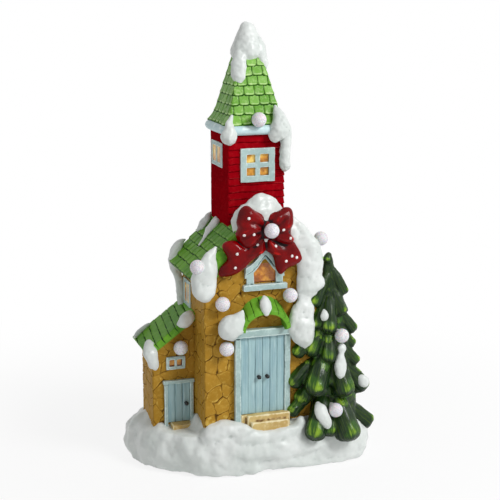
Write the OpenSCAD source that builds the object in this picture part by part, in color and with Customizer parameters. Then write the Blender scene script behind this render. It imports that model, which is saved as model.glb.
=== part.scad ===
// Ceramic Christmas village house: a stone chapel with a red tower, a lean-to shed,
// a fir tree and snow, lit by ten frosted globes and amber windows from a battery case.
// Millimetres. The front looks along -Y, +X is to the right, and Z = 0 is the table.

/* [Snow base] */
// Width of the snow mound
base_w = 256; // [244:1:266]
// Depth of the snow mound
base_d = 140; // [132:1:148]
// Height of the mound where the walls rise out of it
base_h = 54; // [50:1:60]
// Thickness of the mound's cast skin at the sides
base_wall = 14; // [11:0.5:18]
// Height of the floor that the walls stand on
floor_z = 42; // [40:0.5:45]
// Thickness of that floor
floor_t = 7; // [5:0.5:9]
// Gap between the mound's rim and the table
rim_lift = 1; // [0.5:0.1:2]

/* [Chapel] */
// Outer width of the stone walls
chapel_w = 124; // [118:1:130]
// Distance from the tower's axis to the stone front
chapel_front = 52; // [50:0.5:55]
// Distance from the tower's axis to the rear wall
chapel_back = 30; // [30:0.5:34]
// Height of the ridge
ridge_h = 282; // [276:1:288]
// Pitch of the roof in degrees
roof_pitch = 44; // [42:0.5:46]
// Thickness of the cast walls
wall_t = 5; // [4:0.5:6]
// Thickness of the roof shell, square to the slope
roof_t = 7; // [6:0.5:9]
// Reach of the left eave from the ridge
eave_left = 76; // [73:0.5:79]
// Reach of the right eave from the ridge
eave_right = 63.5; // [63:0.5:67]
// Overhang of the roof past the front and rear walls
verge_over = 5; // [4:0.5:7]
// Depth of the thick front verge below the roof shell
verge_h = 11; // [8:0.5:13]
// Rows of shingles on each slope
roof_rows = 7; // [5:1:9]
// Step from one row of shingles to the next
row_step = 1.2; // [0.8:0.1:1.8]

/* [Shed] */
// Width of the shed beside the chapel's left wall
shed_w = 44; // [40:1:48]
// Distance from the tower's axis to the shed's front wall
shed_front = 12; // [9:0.5:15]
// Distance from the tower's axis to the shed's rear wall
shed_back = 34; // [31:0.5:37]
// Height of the shed roof where it meets the chapel
shed_ridge = 165; // [160:1:170]
// Height of the shed roof at its left eave
shed_eave = 127; // [124:1:130]
// Overhang of the shed roof at the left
shed_over = 9; // [7:0.5:12]
// Overhang of the shed roof at the front
shed_verge = 6; // [4:0.5:8]
// Thickness of the shed roof
shed_roof_t = 7; // [6:0.5:9]
// Boards on the shed roof
shed_boards = 7; // [5:1:9]

/* [Tower] */
// Outer width of the square tower
tower_w = 60; // [56:0.5:62]
// Height of the tower's walls
tower_top = 346; // [340:1:352]
// Thickness of the tower's walls
tower_t = 4.5; // [3.5:0.5:6]
// Rows of siding boards
siding_rows = 13; // [9:1:17]
// Depth of the joint between two boards
siding_joint = 0.7; // [0.4:0.1:1]
// Height of the pale moulding at the tower's head
cornice_h = 10; // [8:0.5:12]
// Overhang of that moulding
cornice_over = 6; // [4:0.5:7]

/* [Steeple] */
// Height of the steeple above its moulding, to the blunt point under the snow
steeple_h = 94; // [90:1:98]
// Half width of the steeple at its foot, without the flare
steeple_half = 28.6; // [27:0.2:30]
// Half width of the blunt point
steeple_tip = 4.6; // [4:0.1:5.5]
// Extra half width of the flared foot
steeple_flare = 3.4; // [2:0.2:4]
// Rows of shingles on the steeple
steeple_rows = 9; // [7:1:11]
// Thickness of the steeple's shell
steeple_t = 5; // [4:0.5:6]

/* [Entrance] */
// Width of the entrance frame
entrance_w = 59; // [56:0.5:62]
// Height of the lintel's top
entrance_top = 153; // [149:0.5:156]
// Width of the frame's jambs
jamb_w = 6; // [5:0.5:7]
// Height of the lintel
lintel_h = 8; // [6:0.5:10]
// How far the frame stands out of the stone
frame_proud = 5; // [4:0.5:7]
// Thickness of a door leaf
leaf_t = 3; // [2:0.5:3.5]
// Radius of a door knob
knob_r = 2.2; // [1.8:0.1:2.6]
// Height of the upper step
step_top = 62.5; // [60:0.5:65]
// Rise from the lower step to the upper one
step_rise = 6; // [5:0.5:7]
// Depth of each step's tread
tread = 4.5; // [4:0.5:6]
// Width of the lower step
step_w = 40; // [38:1:42]
// Sideways place of the entrance from the tower's axis
entrance_x = -1.5; // [-3:0.5:0]

/* [Canopy] */
// Half width of the arched canopy
canopy_half = 26; // [24:0.5:28]
// Height of the canopy's crown at the wall
canopy_crown = 190; // [187:0.5:193]
// Height of the canopy's ends
canopy_foot = 157; // [156:0.5:159]
// Height of the canopy's lip above its ends
canopy_lip = 12; // [9:0.5:14]
// Reach of the canopy from the wall
canopy_out = 15; // [12:0.5:17]
// Thickness of the canopy
canopy_t = 5; // [4:0.5:6]

/* [Windows] */
// Width of a tower window's frame
tower_window_w = 36; // [33:0.5:38]
// Height of a tower window's frame
tower_window_h = 34; // [31:0.5:36]
// Height of the tower windows' middle
tower_window_z = 316; // [314:0.5:318]
// Height of the frame of the tower's left window, which is wider than high
left_window_h = 25; // [23:0.5:27]
// Height of the middle of the tower's left window
left_window_z = 324; // [321:0.5:326]
// How far a window frame stands out of its wall
window_proud = 2.5; // [2:0.5:3.5]
// Width of the pane in the gable
gable_pane_w = 26; // [23:0.5:28]
// Height of the sill's underside in the gable
gable_sill_z = 193; // [191:0.5:195]
// Height of the gable window's hood
gable_hood_z = 236; // [233:0.5:239]
// Width of the gable window's sill
gable_sill_w = 46; // [42:0.5:50]
// Width of the chapel's side window
side_window_w = 24; // [21:0.5:27]
// Height of the chapel's side window
side_window_h = 28; // [25:0.5:31]
// Width of the shed's window
shed_window_w = 20; // [18:0.5:22]
// Height of the shed's window
shed_window_h = 13.5; // [12:0.5:15]
// Thickness of the amber panes
pane_t = 2; // [1.5:0.5:3]

/* [Tree] */
// Height of the tree's point above the table
tree_top = 222; // [216:1:228]
// Height of its lowest boughs
tree_foot = 32; // [30:1:35]
// Half width of the tree
tree_half = 52; // [50:0.5:54]
// Half depth of the tree
tree_deep = 31; // [28:0.5:33]
// Place of the tree's stem to the right of the tower's axis
tree_x = 75; // [72:0.5:76]
// Distance of the tree's stem from the mound's front edge
tree_edge = 26; // [24:0.5:28]
// Tiers of boughs
tree_tiers = 6; // [5:1:7]

/* [Snow and bow] */
// Height of the snow on the steeple's point
cap_top = 457; // [455:1:461]
// Thickness of the drifts on the roofs
snow_t = 12; // [10:0.5:14]
// Half width of the bow
bow_half = 32; // [30:0.5:35]
// Height of the bow's knot
bow_z = 258; // [256:0.5:260]
// Radius of the bow's knot
knot_r = 8; // [7:0.5:9]

/* [Lamps] */
// Radius of a frosted globe
globe_r = 7.5; // [7:0.25:8]
// Radius of a globe's neck
neck_r = 2.6; // [2.2:0.1:3]
// Length of a globe's neck
neck_l = 7; // [5:0.5:8]
// Radius of a lamp socket
socket_r = 4; // [3.6:0.1:4.5]
// Length of a lamp socket
socket_l = 8; // [7:0.5:10]
// Radius of the lamps behind the panes
bulb_r = 3; // [2.5:0.25:4]
// Radius of the wires
wire_r = 1.1; // [0.9:0.1:1.3]

/* [Battery case] */
// Radius of a round cell
cell_r = 7.2; // [7.1:0.05:7.25]
// Length of a cell
cell_l = 50.5; // [49:0.25:51]
// Number of cells
cells = 3; // [2:1:3]
// Wall of the battery case
case_wall = 2; // [1.5:0.25:2.5]
// Height of the case's underside
case_z = 68; // [66:0.5:72]
// Width of the flange round the case
flange_w = 6; // [5:0.5:8]
// Thickness of the flange
flange_t = 1.6; // [1.2:0.1:2]
// Thickness of the battery door
door_t = 2.2; // [1.8:0.1:2.6]
// Radius of the hinge pin
pin_r = 1; // [0.8:0.05:1.2]
// Radius of the hinge knuckles
knuckle_r = 2.8; // [2.5:0.1:3.2]
// Height of each hinge ear
ear_h = 5; // [4:0.5:6]
// Travel of the switch slider
switch_travel = 4; // [3:0.25:5]

/* [Base plate] */
// Thickness of the plate that closes the mound
plate_t = 2.5; // [2:0.25:3]
// Radius of a rubber foot
foot_r = 8; // [6:0.5:9]
// Radius of the screws' shanks
screw_r = 1.5; // [1.25:0.05:1.6]
// Radius of the screws' heads
screw_head_r = 3; // [2.8:0.1:3.4]

/* [Hidden] */

$fn = 40;
// Overrun of every cut past the face that it leaves
over = 1;
// Gap between pieces that are fitted by hand
fit = 0.2;
// Gap between pieces that move past each other
run_gap = 0.3;
// Radial gap of the pin in its bores
pin_gap = 0.05;

// Points and skins

function unit(v) = v / norm(v);
function blend(p, q, r, s, t) =
    (2 * q + (r - p) * t + (2 * p - 5 * q + 4 * r - s) * t * t
    + (3 * q - p - 3 * r + s) * t * t * t) / 2;
// A smooth run through the stops, with n steps from one stop to the next
function smooth_run(stops, n) =
    let (m = len(stops) - 1)
    concat([for (i = [0:m - 1]) for (j = [0:n - 1])
        blend(stops[max(i - 1, 0)], stops[i], stops[i + 1], stops[min(i + 2, m)], j / n)],
        [stops[m]]);
function smooth_loop(stops, n) =
    let (m = len(stops))
    [for (i = [0:m - 1]) for (j = [0:n - 1])
        blend(stops[(i + m - 1) % m], stops[i], stops[(i + 1) % m], stops[(i + 2) % m], j / n)];
function middle(ring) = [for (i = [0:2]) sum_of([for (p = ring) p[i]]) / len(ring)];
function sum_of(list) = list * [for (v = list) 1];

// A closed skin over rings that turn anticlockwise about the way they advance
module skin(rings) {
    sides = len(rings[0]);
    rows = len(rings);
    foot = rows * sides;
    head = foot + 1;
    points = concat([for (ring = rings) each ring], [middle(rings[0]), middle(rings[rows - 1])]);
    walls = [for (i = [0:rows - 2]) for (k = [0:sides - 1])
        let (a = i * sides + k, b = i * sides + (k + 1) % sides)
        each [[a, a + sides, b], [b, a + sides, b + sides]]];
    foot_cap = [for (k = [0:sides - 1]) [foot, k, (k + 1) % sides]];
    head_cap = [for (k = [0:sides - 1])
        [head, (rows - 1) * sides + (k + 1) % sides, (rows - 1) * sides + k]];
    polyhedron(points, concat(walls, foot_cap, head_cap), convexity = 8);
}

// A soft run of snow, ribbon or wire. Each stop is [x, y, z, radius], and the run is flat
// times as deep along the facing direction as it is wide
module limb(stops, facing = [0, 1, 0], flat = 1, sides = 10, n = 3) {
    run = smooth_run(stops, n);
    last = len(run) - 1;
    skin([for (i = [0:last])
        let (p = run[i],
            step = run[min(i + 1, last)] - run[max(i - 1, 0)],
            d = unit([step[0], step[1], step[2]]),
            u = unit(cross(facing, d)),
            v = cross(d, u))
        [for (k = [0:sides - 1])
            let (a = full_turn * k / sides)
            [p[0], p[1], p[2]] + p[3] * (u * cos(a) + v * flat * sin(a))]]);
}

// Stops given in shares of the sizes that they follow
function scaled(shares, size) = [for (q = shares) [for (i = [0:3]) q[i] * size[i]]];
function moved(stops, place) = [for (q = stops) [q[0] + place[0], q[1] + place[1], q[2] + place[2], q[3]]];

// A profile drawn in X and Z, made solid from y0 back to y1
module along_y(y0, y1) {
    translate([0, y1, 0]) rotate([90, 0, 0]) linear_extrude(y1 - y0) children();
}

module box(from, to) {
    translate(from) cube(to - from);
}

// A round bar from one point to another
module bar(from, to, r) {
    d = to - from;
    translate(from)
        rotate([0, acos(d[2] / norm(d)), atan2(d[1], d[0])])
            cylinder(r = r, h = norm(d));
}

// The whole object is set back so that its footprint is centred on the origin
bow_out = 10;
bow_lamp_y = chapel_front + bow_out + knot_r + globe_r;
front_reach = bow_lamp_y + globe_r;
home_y = (front_reach - base_d / 2) / 2;
module home() {
    translate([0, home_y, 0]) children();
}

// Roof geometry

roof_drop = tan(roof_pitch);
shell_rise = roof_t / cos(roof_pitch);
ridge_under = ridge_h - shell_rise;
function roof_z(x) = ridge_h - abs(x) * roof_drop;
function under_z(x) = ridge_under - abs(x) * roof_drop;
// One slope's steps, from the ridge down to the eave: side is -1 at the left, 1 at the right
function slope_steps(side, reach) =
    [for (i = [0:roof_rows - 1])
        let (a = reach * i / roof_rows, b = reach * (i + 1) / roof_rows)
        each [[side * a, roof_z(a)], [side * b, roof_z(b) + row_step]]];
function reversed(list) = [for (i = [len(list) - 1:-1:0]) list[i]];
roof_line = concat(reversed(slope_steps(-1, eave_left)), slope_steps(1, eave_right));
roof_y0 = -chapel_front - verge_over;
roof_y1 = chapel_back + verge_over;

module under_roof() {
    along_y(roof_y0, roof_y1)
        polygon(concat(roof_line, [[eave_right, under_z(eave_right)], [0, ridge_under],
            [-eave_left, under_z(eave_left)]]));
}

shed_x = -chapel_w / 2;
full_turn = 360;
shed_left = chapel_w / 2 + shed_w;
tree_y = base_d / 2 - tree_edge;
cornice_z = tower_top + cornice_h;

// Everything that the chapel's roof and walls fill, hollow or not
module chapel_mass() {
    under_roof();
    verge_band();
    along_y(-chapel_front, chapel_back) chapel_plan(over);
}

// Everything below the roof's upper face
module below_roof() {
    along_y(roof_y0, roof_y1) polygon(concat(roof_line, [[eave_right, 0], [-eave_left, 0]]));
}

// The outline of the walls up to the roof, or a little way into it
module chapel_plan(rise) {
    half = chapel_w / 2;
    polygon([[-half, floor_z], [half, floor_z], [half, under_z(half) + rise], [0, ridge_under + rise],
        [-half, under_z(half) + rise]]);
}

module chapel_block() {
    along_y(-chapel_front, chapel_back) chapel_plan(0);
}

// Snow base

base_outline_shares = [[-0.488, 0.07], [-0.452, -0.121], [-0.352, -0.307], [-0.204, -0.471],
    [0, -0.5], [0.2, -0.479], [0.392, -0.479], [0.476, -0.343], [0.5, 0], [0.472, 0.314],
    [0.36, 0.471], [0.16, 0.5], [-0.12, 0.5], [-0.34, 0.471], [-0.464, 0.357], [-0.5, 0.22]];
// Heights of the mound's rings as shares of its height, with their spread
base_level_shares = [[0, 0.965], [0.12, 0.99], [0.32, 1], [0.55, 0.985], [0.74, 0.94],
    [0.88, 0.86], [0.97, 0.77], [1, 0.66]];
puff_share = 0.018;
puffs = 17;
puff_lean = 400;
base_loop = smooth_loop(base_outline_shares, 4);
base_rings = [for (level = base_level_shares)
    [for (k = [0:len(base_loop) - 1])
        let (a = full_turn * puffs * k / len(base_loop) + puff_lean * level[0],
            puff = level[1] - puff_share * (1 - cos(a)) / 2)
        [base_loop[k][0] * base_w * puff, base_loop[k][1] * base_d * puff,
            rim_lift + level[0] * (base_h - rim_lift)]]];
base_loop_coarse = smooth_loop(base_outline_shares, 2);
module base_plan(inset) {
    polygon([for (p = base_loop_coarse)
        [p[0] * (base_w - 2 * inset), p[1] * (base_d - 2 * inset)]]);
}
cavity_top = floor_z - floor_t;
plate_z = rim_lift * 2;
boss_r = screw_r * 2.5;
screw_place_shares = [[-0.2, -0.28], [-0.2, 0.28], [0.2, -0.28], [0.2, 0.28]];
screw_places = [for (q = screw_place_shares) [q[0] * base_w, q[1] * base_d]];
foot_place_shares = [[-0.3, -0.17], [-0.3, 0.17], [0.3, -0.17], [0.3, 0.17]];
foot_places = [for (q = foot_place_shares) [q[0] * base_w, q[1] * base_d]];
screw_l = floor_t * 1.5;
horn_shares = [[0.26, -0.84, 0.66, 0.12], [0.29, -0.86, 0.84, 0.13], [0.31, -0.87, 0.98, 0.08],
    [0.33, -0.87, 1.04, 0.02]];
horn_right_shares = [[0.84, -0.85, 0.4, 0.12], [0.86, -0.82, 0.62, 0.1], [0.88, -0.8, 0.8, 0.06],
    [0.89, -0.79, 0.9, 0.015]];
heap_shares = [[-0.52, -0.4, 0.7, 0.2], [-0.52, -0.38, 0.95, 0.16], [-0.52, -0.36, 1.12, 0.09],
    [-0.52, -0.35, 1.2, 0.02]];
bank_shares = [[-0.46, -0.74, 0.7, 0.12], [-0.36, -0.78, 0.84, 0.17], [-0.24, -0.82, 0.94, 0.17],
    [-0.17, -0.84, 1, 0.1], [-0.15, -0.84, 1.02, 0.02]];
step_bank_shares = [[-0.3, -0.88, 0.7, 0.05], [-0.22, -0.93, 0.76, 0.1], [0, -0.955, 0.77, 0.105],
    [0.2, -0.94, 0.77, 0.1], [0.3, -0.88, 0.74, 0.05]];
horn_size = [base_w / 2, base_d / 2, base_h, base_d / 2];

module snow_base() {
    color("ghostwhite") home() {
        difference() {
            union() {
                skin(base_rings);
                for (shares = [horn_shares, horn_right_shares, heap_shares, bank_shares, step_bank_shares]) {
                    limb(scaled(shares, horn_size));
                }
            }
            difference() {
                translate([0, 0, -over]) linear_extrude(cavity_top + over) base_plan(base_wall);
                for (p = screw_places) {
                    translate([p[0], p[1], plate_z + plate_t]) cylinder(r = boss_r, h = base_h);
                }
            }
            for (p = screw_places) {
                translate([p[0], p[1], 0]) cylinder(r = screw_r, h = plate_z + plate_t + screw_l + over);
            }
            along_y(-chapel_front, chapel_back)
                square_at([-chapel_w / 2, floor_z], [chapel_w / 2, base_h * 2]);
            box([-shed_left, -shed_front, floor_z], [shed_x + over, shed_back, base_h * 2]);
            steps_form();
            doorstep_form();
            entrance_block();
            shed_door_block();
            tree_form();
            translate([0, 0, cavity_top - over]) cylinder(r = stem_r + wire_r, h = floor_t + 2 * over);
            translate([tree_x, -tree_y, cavity_top - over]) cylinder(r = stem_r, h = base_h);
        }
    }
}

module square_at(from, to) {
    translate(from) square(to - from);
}

module base_plate() {
    color("dimgray") home() {
        difference() {
            translate([0, 0, plate_z]) linear_extrude(plate_t) base_plan(base_wall + fit);
            for (p = screw_places) {
                translate([p[0], p[1], 0]) cylinder(r = screw_r + fit, h = base_h);
            }
        }
    }
}

module base_screws() {
    color("silver") home() {
        for (p = screw_places) {
            translate([p[0], p[1], plate_z - screw_r]) cylinder(r = screw_head_r, h = screw_r);
            translate([p[0], p[1], plate_z - fit]) cylinder(r = screw_r - pin_gap, h = plate_t + screw_l);
        }
    }
}

module rubber_feet() {
    color("black") home() {
        for (p = foot_places) {
            translate([p[0], p[1], 0]) cylinder(r = foot_r, h = plate_z);
        }
    }
}

// Chapel

sill_h = 6;
sill_gap = 1;
gable_head_share = 0.62;
gable_head_r = gable_pane_w * gable_head_share;
gable_pane_z0 = gable_sill_z + sill_h + sill_gap;
gable_pane_h = 21;
gable_x = 1;
bar_w = 2.5;
shed_wire_rise = 60;
shed_wire_z = floor_z + shed_wire_rise;
side_window_y = 9;
side_window_z = shed_ridge + side_window_h / 2 + run_gap;
switch_room = 14;
latch_room = 4;
case_top = case_z + cell_l + 4 * case_wall + switch_room;
case_half = cells * cell_r + 1.5 * case_wall + latch_room;
module gable_pane_plan(grow) {
    intersection() {
        square_at([gable_x - gable_pane_w / 2 - grow, gable_pane_z0 - grow],
            [gable_x + gable_pane_w / 2 + grow, gable_pane_z0 + gable_pane_h + grow]);
        translate([gable_x, gable_pane_z0 + gable_pane_h - gable_head_r])
            circle(r = gable_head_r + grow, $fn = 60);
    }
}

module chapel_walls() {
    color("goldenrod") home() {
        difference() {
            chapel_block();
            box([-chapel_w / 2 + wall_t, -chapel_front + wall_t, floor_z - over],
                [chapel_w / 2 - wall_t, chapel_back - wall_t, ridge_h]);
            along_y(-chapel_front - over, 0) gable_pane_plan(fit);
            at_side_hole() pane_hole(side_window_w, side_window_h, bar_w);
            box([-case_half - fit, 0, case_z - fit], [case_half + fit, chapel_back + over, case_top + fit]);
            for (i = [1, 2, 3, 4, 5, 6]) lamp_bore(i);
            bar([-chapel_w / 2 - over, 0, shed_wire_z], [0, 0, shed_wire_z], wire_bore_r);
        }
    }
}

module verge_band() {
    along_y(roof_y0, -chapel_front)
        polygon([[-eave_left, under_z(eave_left)], [-eave_left, under_z(eave_left) + over],
            [0, ridge_under + over], [eave_right, under_z(eave_right) + over],
            [eave_right, under_z(eave_right)],
            [eave_right - verge_h, under_z(eave_right)], [0, ridge_under - verge_h / cos(roof_pitch)],
            [-eave_left + verge_h, under_z(eave_left)]]);
}

module chapel_roof() {
    color("yellowgreen") home() {
        difference() {
            union() {
                under_roof();
                verge_band();
            }
            box([-tower_w / 2 + tower_t, -tower_w / 2 + tower_t, 0],
                [tower_w / 2 - tower_t, tower_w / 2 - tower_t, ridge_h + over]);
            for (i = [1, 2, 3]) lamp_bore(i);
        }
    }
}

// Shed

shed_slope = (shed_ridge - shed_eave) / (shed_w + shed_over);
shed_rise = shed_roof_t * sqrt(1 + shed_slope * shed_slope);
function shed_top_z(x) = shed_ridge + (x - shed_x) * shed_slope;
board_w = (shed_w + shed_over) / shed_boards;
groove = 0.8;
shed_floor = floor_z;
shed_t = 4;

module shed_mass() {
    along_y(-shed_front - shed_verge, shed_back + shed_verge)
        polygon([[-shed_left - shed_over, shed_top_z(-shed_left - shed_over) - shed_rise],
            [shed_x, shed_ridge - shed_rise], [shed_x, shed_ridge],
            [-shed_left - shed_over, shed_top_z(-shed_left - shed_over)]]);
}

module shed_walls() {
    color("goldenrod") home() {
        difference() {
            along_y(-shed_front, shed_back)
                polygon([[-shed_left, shed_floor], [shed_x, shed_floor], [shed_x, shed_ridge - shed_rise],
                    [-shed_left, shed_top_z(-shed_left) - shed_rise]]);
            box([-shed_left + shed_t, -shed_front + shed_t, shed_floor - over],
                [shed_x - shed_t, shed_back - shed_t, shed_ridge]);
            at_shed_hole() pane_hole(shed_window_w, shed_window_h, bar_w);
            lamp_bore(7);
            bar([shed_x - shed_w / 2, 0, shed_wire_z], [shed_x + over, 0, shed_wire_z], wire_bore_r);
        }
    }
}

module shed_roof() {
    color("olivedrab") home() {
        difference() {
            shed_mass();
            for (i = [1:shed_boards - 1]) {
                x = shed_x - i * board_w;
                foot = shed_top_z(x) - groove;
                along_y(-shed_front - shed_verge - over, shed_back + shed_verge + over)
                    polygon([[x - groove / 2, foot], [x + groove / 2, foot],
                        [x + groove / 2, shed_ridge + over], [x - groove / 2, shed_ridge + over]]);
            }
        }
    }
}

// Tower

tower_foot = roof_z(tower_w / 2);
board_h = (tower_top - tower_foot) / siding_rows;
tower_window_x = 1;
left_window_y = 5;
border = 5;
left_border = 3.2;
module tower_walls() {
    color("firebrick") home() {
        difference() {
            box([-tower_w / 2, -tower_w / 2, tower_foot - over], [tower_w / 2, tower_w / 2, tower_top]);
            box([-tower_w / 2 + tower_t, -tower_w / 2 + tower_t, tower_foot - 2 * over],
                [tower_w / 2 - tower_t, tower_w / 2 - tower_t, tower_top + over]);
            for (i = [1:siding_rows - 1]) {
                difference() {
                    box([-tower_w, -tower_w, tower_foot + i * board_h - siding_joint],
                        [tower_w, tower_w, tower_foot + i * board_h]);
                    box([-tower_w / 2 + siding_joint, -tower_w / 2 + siding_joint, 0],
                        [tower_w / 2 - siding_joint, tower_w / 2 - siding_joint, cap_top]);
                }
            }
            at_tower_front_hole() pane_hole(tower_window_w, tower_window_h, border);
            at_tower_left_hole() pane_hole(tower_window_w, left_window_h, left_border);
            below_roof();
        }
    }
}

// The moulding's rounded section, with its nose at one side of the tower
function cornice_nose(side) =
    [for (a = [-90:15:90])
        [side * (tower_w / 2 + cornice_over * cos(a)), cornice_z + cornice_h / 2 * (sin(side * a) - 1)]];
module cornice_bar() {
    polygon(concat(cornice_nose(1), cornice_nose(-1)));
}

module cornice_form() {
    intersection() {
        along_y(-tower_w, tower_w) cornice_bar();
        rotate([0, 0, 90]) along_y(-tower_w, tower_w) cornice_bar();
    }
}

module tower_cornice() {
    color("lightblue") home() {
        difference() {
            cornice_form();
            translate([0, 0, tower_top - over]) cylinder(r = tower_w / 5, h = cornice_h + 2 * over);
        }
    }
}

// Steeple: its half width falls evenly, with a flare in the lowest part

flare_share = 0.16;
function steeple_w(rise) =
    let (t = rise / steeple_h)
    steeple_half + (steeple_tip - steeple_half) * t + steeple_flare * pow(max(0, 1 - t / flare_share), 2);
function square_ring(half, z) = [[half, -half, z], [half, half, z], [-half, half, z], [-half, -half, z]];
function steeple_rings(step, inset, from, to) =
    [for (i = [0:steeple_rows - 1])
        let (a = from + (to - from) * i / steeple_rows, b = from + (to - from) * (i + 1) / steeple_rows)
        each [square_ring(steeple_w(a) + step - inset, cornice_z + a),
            square_ring(steeple_w(b) - inset, cornice_z + b)]];
module steeple_form() {
    skin(steeple_rings(row_step, 0, 0, steeple_h));
}

module steeple_roof() {
    color("yellowgreen") home() {
        difference() {
            steeple_form();
            skin(steeple_rings(0, steeple_t, -over, steeple_h * (1 - 2 * steeple_t / steeple_half)));
            lamp_bore(0);
        }
    }
}

// Windows

casement_bar_share = 0.8;
module casement(w, h, edge, cols, rows, depth) {
    bar_t = edge * casement_bar_share;
    pane_w = (w - 2 * edge - (cols - 1) * bar_t) / cols;
    pane_h = (h - 2 * edge - (rows - 1) * bar_t) / rows;
    difference() {
        translate([-w / 2, -depth, -h / 2]) cube([w, depth, h]);
        for (i = [0:cols - 1]) {
            for (j = [0:rows - 1]) {
                translate([-w / 2 + edge + i * (pane_w + bar_t), -depth - over,
                    -h / 2 + edge + j * (pane_h + bar_t)])
                    cube([pane_w, depth + 2 * over, pane_h]);
            }
        }
    }
}

module pane(w, h, edge) {
    translate([-w / 2 + edge, 0, -h / 2 + edge]) cube([w - 2 * edge, pane_t, h - 2 * edge]);
}

// The hole that a pane sits in, cut from in front of the wall to well behind it
module pane_hole(w, h, edge) {
    translate([-w / 2 + edge - fit, -over, -h / 2 + edge - fit])
        cube([w - 2 * edge + 2 * fit, 2 * wall_t + over, h - 2 * edge + 2 * fit]);
}

module at_tower_front_hole() {
    translate([tower_window_x, -tower_w / 2, tower_window_z]) children();
}

module at_tower_left_hole() {
    translate([-tower_w / 2, left_window_y, left_window_z]) rotate([0, 0, -90]) children();
}

module at_side_hole() {
    translate([-chapel_w / 2, side_window_y, side_window_z]) rotate([0, 0, -90]) children();
}

// The shed's globe hangs under its roof, and its window is under the globe
shed_lamp_share = 0.36;
shed_lamp_drop = 8.6;
shed_window_gap = 3.2;
shed_lamp_x = shed_x - shed_lamp_share * shed_w;
shed_lamp_z = shed_top_z(shed_lamp_x) - shed_rise - shed_lamp_drop - globe_r;
shed_window_share = 0.45;
shed_window_x = shed_x - shed_window_share * shed_w;
shed_window_z = shed_lamp_z - globe_r - shed_window_gap - shed_window_h / 2;
module at_shed_hole() {
    translate([shed_window_x, -shed_front, shed_window_z]) children();
}

module at_tower_front() { home() at_tower_front_hole() children(); }
module at_tower_left() { home() at_tower_left_hole() children(); }
module at_side() { home() at_side_hole() children(); }
module at_shed() { home() at_shed_hole() children(); }

module tower_front_window_frame() {
    color("lightblue") at_tower_front()
        casement(tower_window_w, tower_window_h, border + bar_w / 2, 2, 2, window_proud);
}

module tower_front_window_pane() {
    color("orange") at_tower_front() pane(tower_window_w, tower_window_h, border);
}

module tower_left_window_frame() {
    color("lightblue") at_tower_left()
        casement(tower_window_w, left_window_h, left_border + bar_w / 2, 2, 1, window_proud);
}

module tower_left_window_pane() {
    color("orange") at_tower_left() pane(tower_window_w, left_window_h, left_border);
}

module side_window_frame() {
    color("lightblue") at_side() casement(side_window_w, side_window_h, bar_w * 1.5, 2, 1, window_proud);
}

module side_window_pane() {
    color("orange") at_side() pane(side_window_w, side_window_h, bar_w);
}

module shed_window_frame() {
    color("lightblue") at_shed() casement(shed_window_w, shed_window_h, bar_w * 1.2, 2, 1, window_proud);
}

module shed_window_pane() {
    color("orange") at_shed() pane(shed_window_w, shed_window_h, bar_w);
}

gable_hood_half = 21;
gable_hood_foot = 217;
gable_hood_t = 7;
hood_curve_shares = [[-1, 0], [-0.72, 0.16], [-0.45, 0.42], [-0.2, 0.78], [0, 1], [0.2, 0.78],
    [0.45, 0.42], [0.72, 0.16], [1, 0]];
hood_line = [for (q = hood_curve_shares)
    [gable_x + q[0] * gable_hood_half, gable_hood_foot + q[1] * (gable_hood_z - gable_hood_foot)]];
jamb_side = 6;
module hood_plan(drop) {
    polygon(concat(hood_line, [for (p = reversed(hood_line)) [p[0], p[1] - drop]]));
}

module gable_window_frame() {
    color("lightblue") home() {
        difference() {
            union() {
                along_y(-chapel_front - window_proud, -chapel_front) {
                    square_at([gable_x - gable_pane_w / 2 - jamb_side, gable_sill_z],
                        [gable_x + gable_pane_w / 2 + jamb_side, gable_hood_foot]);
                    hood_plan(gable_hood_foot - gable_sill_z - gable_hood_t);
                }
                along_y(-chapel_front - frame_proud, -chapel_front) hood_plan(gable_hood_t);
                along_y(-chapel_front - frame_proud, -chapel_front)
                    square_at([gable_x - gable_sill_w / 2, gable_sill_z],
                        [gable_x + gable_sill_w / 2, gable_sill_z + sill_h]);
            }
            along_y(-chapel_front - frame_proud - over, -chapel_front + over) gable_pane_plan(-bar_w / 2);
        }
    }
}

module gable_window_pane() {
    color("orange") home() along_y(-chapel_front, -chapel_front + pane_t) gable_pane_plan(0);
}

// Entrance and shed doors

leaf_w = (entrance_w - 2 * jamb_w) / 2;
door_top = entrance_top - lintel_h;
cap_over = 2;
module entrance_block() {
    box([entrance_x - entrance_w / 2, -chapel_front - frame_proud, floor_z],
        [entrance_x + entrance_w / 2, -chapel_front + over, door_top]);
}

module lintel_block() {
    box([entrance_x - entrance_w / 2 - cap_over, -chapel_front - frame_proud - cap_over, door_top],
        [entrance_x + entrance_w / 2 + cap_over, -chapel_front, entrance_top]);
}

module entrance_frame() {
    color("lightblue") home() {
        y0 = -chapel_front - frame_proud;
        difference() {
            box([entrance_x - entrance_w / 2, y0, floor_z],
                [entrance_x + entrance_w / 2, -chapel_front, door_top]);
            box([entrance_x - leaf_w, y0 - over, 0],
                [entrance_x + leaf_w, -chapel_front + over, door_top + over]);
        }
        lintel_block();
    }
}

planks = 3;
module leaf(x0, x1, y0, y1, z0, z1) {
    plank_w = (x1 - x0) / planks;
    difference() {
        box([x0, y0, z0], [x1, y1, z1]);
        for (i = [1:planks - 1]) {
            box([x0 + i * plank_w - groove / 2, y0 - over, z0 - over],
                [x0 + i * plank_w + groove / 2, y0 + groove, z1 + over]);
        }
    }
}

module entrance_door_left() {
    color("powderblue") home()
        leaf(entrance_x - leaf_w + fit, entrance_x - fit / 2, -chapel_front - leaf_t, -chapel_front,
            step_top + fit, door_top - fit);
}

module entrance_door_right() {
    color("powderblue") home()
        leaf(entrance_x + fit / 2, entrance_x + leaf_w - fit, -chapel_front - leaf_t, -chapel_front,
            step_top + fit, door_top - fit);
}

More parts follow.
